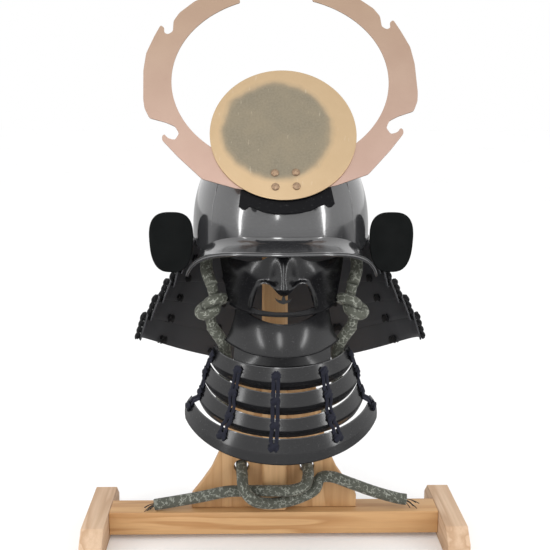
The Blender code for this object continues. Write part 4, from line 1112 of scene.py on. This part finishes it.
def mask_relief(x, z):
    above = max(0.0, (z - NOSE_TIP_Z) / (MASK_TOP_Z - NOSE_TIP_Z))
    below = max(0.0, (NOSE_TIP_Z - z) / (MOUTH_HEIGHT * 0.3))
    nose = NOSE_REACH * math.exp(-((x / (NOSE_WIDTH / 2)) ** 2)) * max(0.0, 1 - 0.6 * above)
    nose *= max(0.0, 1 - below**2)
    cheek_z = (MASK_TOP_Z + NOSE_TIP_Z) / 2
    cheek_x = MASK_TOP_WIDTH * 0.29
    cheek = math.exp(-(((abs(x) - cheek_x) / CHEEK_SIZE) ** 2) - (((z - cheek_z) / CHEEK_SIZE) ** 2))
    return nose + CHEEK_SWELL * cheek


def nearest_on(outline, x, z):
    """The nearest point of a closed outline, and its distance."""
    best = None
    for (ax, az), (bx, bz) in zip(outline, outline[1:] + outline[:1]):
        run_x, run_z = bx - ax, bz - az
        share = ((x - ax) * run_x + (z - az) * run_z) / (run_x**2 + run_z**2)
        share = min(1.0, max(0.0, share))
        near = (ax + run_x * share, az + run_z * share)
        distance = math.hypot(x - near[0], z - near[1])
        if best is None or distance < best[0]:
            best = (distance, near)
    return best


def inside_outline(outline, x, z):
    crossings = 0
    for (ax, az), (bx, bz) in zip(outline, outline[1:] + outline[:1]):
        if (az > z) != (bz > z) and x < ax + (bx - ax) * (z - az) / (bz - az):
            crossings += 1
    return crossings % 2 == 1


def make_mask():
    """The face: one plate with a calm nose and cheeks, and a raised band over an open mouth."""
    mouth = [(MOUTH_WIDTH / 2 * x, MOUTH_LOW_Z + MOUTH_HEIGHT * up) for x, up in MOUTH_EDGE]
    outline = rounded(both_halves(mouth))

    def surface(x, z):
        distance, (_, near_z) = nearest_on(outline, x, z)
        y = mask_depth(x, z) - mask_relief(x, z)
        if near_z > MOUTH_LOW_Z + LIP_ABOVE:
            share = max(0.0, 1 - distance / LIP_BAND)
            y -= LIP_RISE * share * share * (3 - 2 * share)
        aside, up = abs(x) - NOSTRIL_X, z - NOSE_TIP_Z - NOSTRIL_LIFT
        return y - NOSTRIL_SWELL * math.exp(-((aside / NOSTRIL_SIZE) ** 2 + (up / NOSTRIL_SIZE) ** 2))

    across, up = 150, 84
    rows = []
    for j in range(up + 1):
        row = []
        for side in spaced(across):
            low = mask_low_edge(side)
            bridge = BRIDGE_RISE * math.exp(-((side * MASK_TOP_WIDTH / BRIDGE_WIDTH) ** 2))
            z = low + (MASK_TOP_Z + bridge - low) * j / up
            row.append((side * mask_half_width(z), z))
        rows.append(row)
    shape = bmesh.new()
    grid = {}

    def vertex(i, j):
        if (i, j) not in grid:
            x, z = rows[j][i]
            if inside_outline(outline, x, z):
                x, z = nearest_on(outline, x, z)[1]
            grid[i, j] = shape.verts.new(Vector((x, surface(x, z), z)) + HELMET)
        return grid[i, j]

    for j in range(up):
        for i in range(across):
            corners = ((i, j), (i + 1, j), (i + 1, j + 1), (i, j + 1))
            if sum(inside_outline(outline, *rows[b][a]) for a, b in corners) < 3:
                shape.faces.new([vertex(a, b) for a, b in corners])
    bmesh.ops.remove_doubles(shape, verts=shape.verts, dist=0.00005)
    face = object_from("face_plate", shape)
    modify(face, "SOLIDIFY", thickness=MASK_WALL, offset=-1)
    dress(smooth_shade(applied(face), 60), FACE_LACQUER_PAINTED_SHADE, "black_lacquer", "mask_face")

    def lower_edge(side):
        z = mask_low_edge(side) + EDGE_BEAD / 2
        x = side * mask_half_width(z)
        return Vector((x, mask_depth(x, z) - EDGE_BEAD / 2, z))

    edge_bead("mask_lower_bead", lower_edge, EDGE_BEAD, FACE_LACQUER_PAINTED_SHADE, 80)


def chin_point(side, down):
    """A point on the chin plate: side runs from -1 to 1, and down from its upper to its lower edge."""
    top_half = MASK_BOTTOM_WIDTH / 2 - MASK_WALL
    behind = MASK_WALL + MASK_GAP
    half = between(top_half, CHIN_LOWER_WIDTH / 2, down**2)
    front_y = MASK_FRONT_Y + behind - CHIN_FLARE * down**2
    side_y = between(mask_depth(top_half, MASK_BOTTOM_Z) + behind, CHIN_LOWER_SIDE_Y, down)
    high = CHIN_TOP_Z + CHIN_SIDE_RISE * side * side
    low = CHIN_TOP_Z - CHIN_HEIGHT + CHIN_SIDE_RISE * 0.35 * abs(side) ** 4
    return Vector((side * half, front_y + (side_y - front_y) * side * side, between(high, low, down)))


def flange_point(side, down):
    """A point on the flange, which runs from behind the chin plate to behind the first throat lame."""

    def chin(at, low):
        return chin_point(FLANGE_CHIN_SHARE * at, low)

    def throat(at, low):
        return throat_point(THROAT_LAMES[0], FLANGE_HALF_ANGLE * at, low)

    upper = behind_plate(chin, side, 1 - FLANGE_LAP / CHIN_HEIGHT)
    return upper.lerp(behind_plate(throat, side, 0) - Vector((0, 0, FLANGE_LAP)), down)


def behind_plate(plate, side, down):
    """The point a plate's wall and a small gap behind the plate."""
    across = plate(side + 0.01, down) - plate(side - 0.01, down)
    fall = plate(side, down + 0.01) - plate(side, down - 0.01)
    return plate(side, down) + across.cross(fall).normalized() * (MASK_WALL + FLANGE_GAP)


def edge_bead(name, point_at, radius, look, count):
    """A fine rounded bead along one edge of a plate."""
    bar(name, [point_at(side) + HELMET for side in spaced(count)], radius, look, "black_lacquer")


def make_chin():
    """The saddle-shaped chin plate with its two beads, and the flange behind its lower edge."""

    def chin(u, v):
        return chin_point(2 * u - 1, 1 - v)

    def flange(u, v):
        return flange_point(2 * u - 1, 1 - v)

    shell("chin_plate", "mask_chin", GUARD_LACQUER_PAINTED_SHADE, 110, 40, chin, MASK_WALL)
    for name, down in (("chin_upper_bead", 0.0), ("chin_lower_bead", 1.0)):

        def edge(side, down=down):
            return chin_point(side, down) + Vector((0, MASK_WALL / 2, 0))

        edge_bead(name, edge, EDGE_BEAD, GUARD_LACQUER_PAINTED_SHADE, 72)
    shell("chin_flange_plate", "chin_flange", GUARD_LACQUER_PAINTED_SHADE, 90, 12, flange, MASK_WALL)


def throat_point(row, turn, v, stand_off=0.0):
    """A point on a throat lame: turn is the angle from the front, v runs from its top to its bottom."""
    last = THROAT_HALF_ANGLE
    aside = (1 - math.cos(turn)) / (1 - math.cos(last))
    high = between(row["top"], row["tip_top"], aside)
    low = between(row["low"], row["tip_low"], aside)
    past_knee = max(0.0, v / THROAT_KNEE - 1)
    out = stand_off + THROAT_LEAN * (min(v / THROAT_KNEE, 1) + (1 - row["curl"]) * 0.5 * past_knee)
    out -= THROAT_CURL * row["curl"] * max(0.0, (v - THROAT_KNEE) / (1 - THROAT_KNEE)) ** 1.4
    half = THROAT_WIDTH / 2 * (row["wide"] + row["wider"] * v) / math.sin(last)
    depth = THROAT_DEPTH * row["deep"] / (1 - math.cos(last))
    y = THROAT_FRONT_Y - THROAT_FLARE * row["flare"] + depth - (depth + out) * math.cos(turn)
    return Vector(((half + out) * math.sin(turn), y, THROAT_TOP_Z - THROAT_DROP * between(high, low, v)))


def make_throat_guard():
    """Four lames joined by five columns of navy lacing. The lower halves of the first three curl inward."""
    for number, row in enumerate(THROAT_LAMES, start=1):

        def lame(u, v, row=row):
            down = 1 - v
            turn = (2 * u - 1) * THROAT_HALF_ANGLE * (1 - THROAT_CORNER * down**3)
            return throat_point(row, turn, down)

        def edge(side, row=row):
            edge_point = throat_point(row, side * THROAT_HALF_ANGLE, 0, -THROAT_BEAD / 2)
            return edge_point - Vector((0, 0, THROAT_BEAD))

        name, node = f"throat_plate_{number}", f"throat_lame_{number}"
        shell(name, node, GUARD_LACQUER_PAINTED_SHADE, 120, 24, lame, THROAT_WALL, bevel=THROAT_BEVEL)
        # The bead takes the lighter, full-gloss lacquer copy, not the guard's darker one, so each lame's top
        # edge shows a bright line: partly a painted highlight.
        edge_bead(f"throat_bead_{number}", edge, THROAT_BEAD, LACQUER, 120)
    for number, degrees in enumerate(THROAT_LACE_ANGLES, start=1):
        shape = bmesh.new()
        throat_column(shape, math.radians(degrees))
        dressed_shape(f"throat_lacing_{number}", shape, NAVY, "navy_lace", f"throat_lace_{number}")


def throat_column(shape, turn):
    """One column: a chunky knot on every lame's upper part and two laces on to the next lame."""
    off = LACE_HALF_THICK + CLEARANCE

    def at(row, across, v, stand_off):
        return throat_point(row, turn + across / (THROAT_WIDTH / 2), v, stand_off) + HELMET

    for row, below in zip(THROAT_LAMES, [*THROAT_LAMES[1:], None]):

        def on_lame(across, v, stand_off, row=row):
            return at(row, across, v, stand_off)

        lace_knot(shape, on_lame, THROAT_KNOT_LEVEL, THROAT_KNOT_HALF, off)
        if below:
            levels = ((row, 0.40), (row, 0.55), (below, -0.12), (below, 0.0), (below, 0.14))
            for across in (-LACE_APART * 0.7, LACE_APART * 0.7):
                lace_strand(shape, at, [(lame, across, v, off) for lame, v in levels])


def softened(name, node, look):
    """A wooden node's own shape with its sharp edges eased."""
    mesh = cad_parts[node].data.copy()
    shape = bmesh.new()
    shape.from_mesh(mesh)
    bmesh.ops.remove_doubles(shape, verts=shape.verts, dist=1e-5)
    bmesh.ops.dissolve_limit(shape, angle_limit=math.radians(1), verts=shape.verts, edges=shape.edges)
    shape.to_mesh(mesh)
    shape.free()
    piece = place_object(name, mesh)
    modify(piece, "BEVEL", width=SOFT_EDGE, segments=3, limit_method="ANGLE", angle_limit=math.radians(30))
    return dress(smooth_shade(applied(piece), 30), look, "pine", node)


def make_stand():
    """The pine stand with its edges eased and its grain along each board."""
    softened("stand_foot_left", "foot_left", PINE_FEET_PAINTED_LIGHT)
    softened("stand_foot_right", "foot_right", PINE_FEET_PAINTED_LIGHT)
    softened("stand_bar", "crossbar", PINE_BAR_PAINTED_SHADE)
    softened("stand_board", "back_board", PINE_Z)
    softened("stand_post", "post", PINE_Z)
    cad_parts["head_rest"].material_slots[0].material = PINE_Z


def make_stage():
    """A plain pale floor."""
    shape = bmesh.new()
    corners = [(FLOOR_REACH * x, FLOOR_REACH * y, 0) for x, y in ((-1, -1), (1, -1), (1, 1), (-1, 1))]
    shape.faces.new([shape.verts.new(corner) for corner in corners])
    floor = piece_from("stage_floor", shape)
    floor.data.materials.append(make_pale_floor())


def add_light(name, spot, target, width, height, power):
    data = bpy.data.lights.new(name, "AREA")
    configure(data, shape="ELLIPSE", size=width, size_y=height, energy=power)
    light = place_object(name, data)
    light.location = spot
    light.rotation_euler = (Vector(target) - Vector(spot)).to_track_quat("-Z", "Y").to_euler()


def make_world():
    """White surroundings. Gloss sees them bright above the horizon and dark below it."""
    world = bpy.data.worlds.new("studio")
    bpy.context.scene.world = world
    world.use_nodes = True
    tree = world.node_tree
    direction = tree.nodes.new("ShaderNodeTexCoord").outputs["Generated"]
    share = axis_share(direction, "Z", -1.0, 1.0)
    painted_reflection = ramp(share, (0.405, 0.03), (0.435, 0.42), (0.475, 0.95), (0.75, 1.0))
    fill(tree.nodes["Background"], {"Color": for_gloss(1.0, painted_reflection), "Strength": 1.0})


def make_lights():
    """A narrow light high in front for the chin's gleam, and a tall strip to each side for the streaks."""
    make_world()
    add_light("overhead", (-0.22, -1.7, 1.35), (0, 0, 0.3), width=0.35, height=1.5, power=8)
    for side, sign in SIDES.items():
        add_light(f"strip_{side}", (sign * 1.5, -0.95, 0.9), (0, 0, 0.4), width=0.16, height=1.4, power=6)
    bpy.context.scene.view_settings.view_transform = "Standard"


make_stand()
make_bowl()
make_turnbacks()
make_neck_guard()
make_crest()
make_mask()
make_chin()
make_throat_guard()
for pin in ("cheek_peg_left", "cheek_peg_right"):
    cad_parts[pin].material_slots[0].material = MATTE
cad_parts["lip_tab"].material_slots[0].material = FACE_LACQUER_PAINTED_SHADE
make_stage()
make_lights()
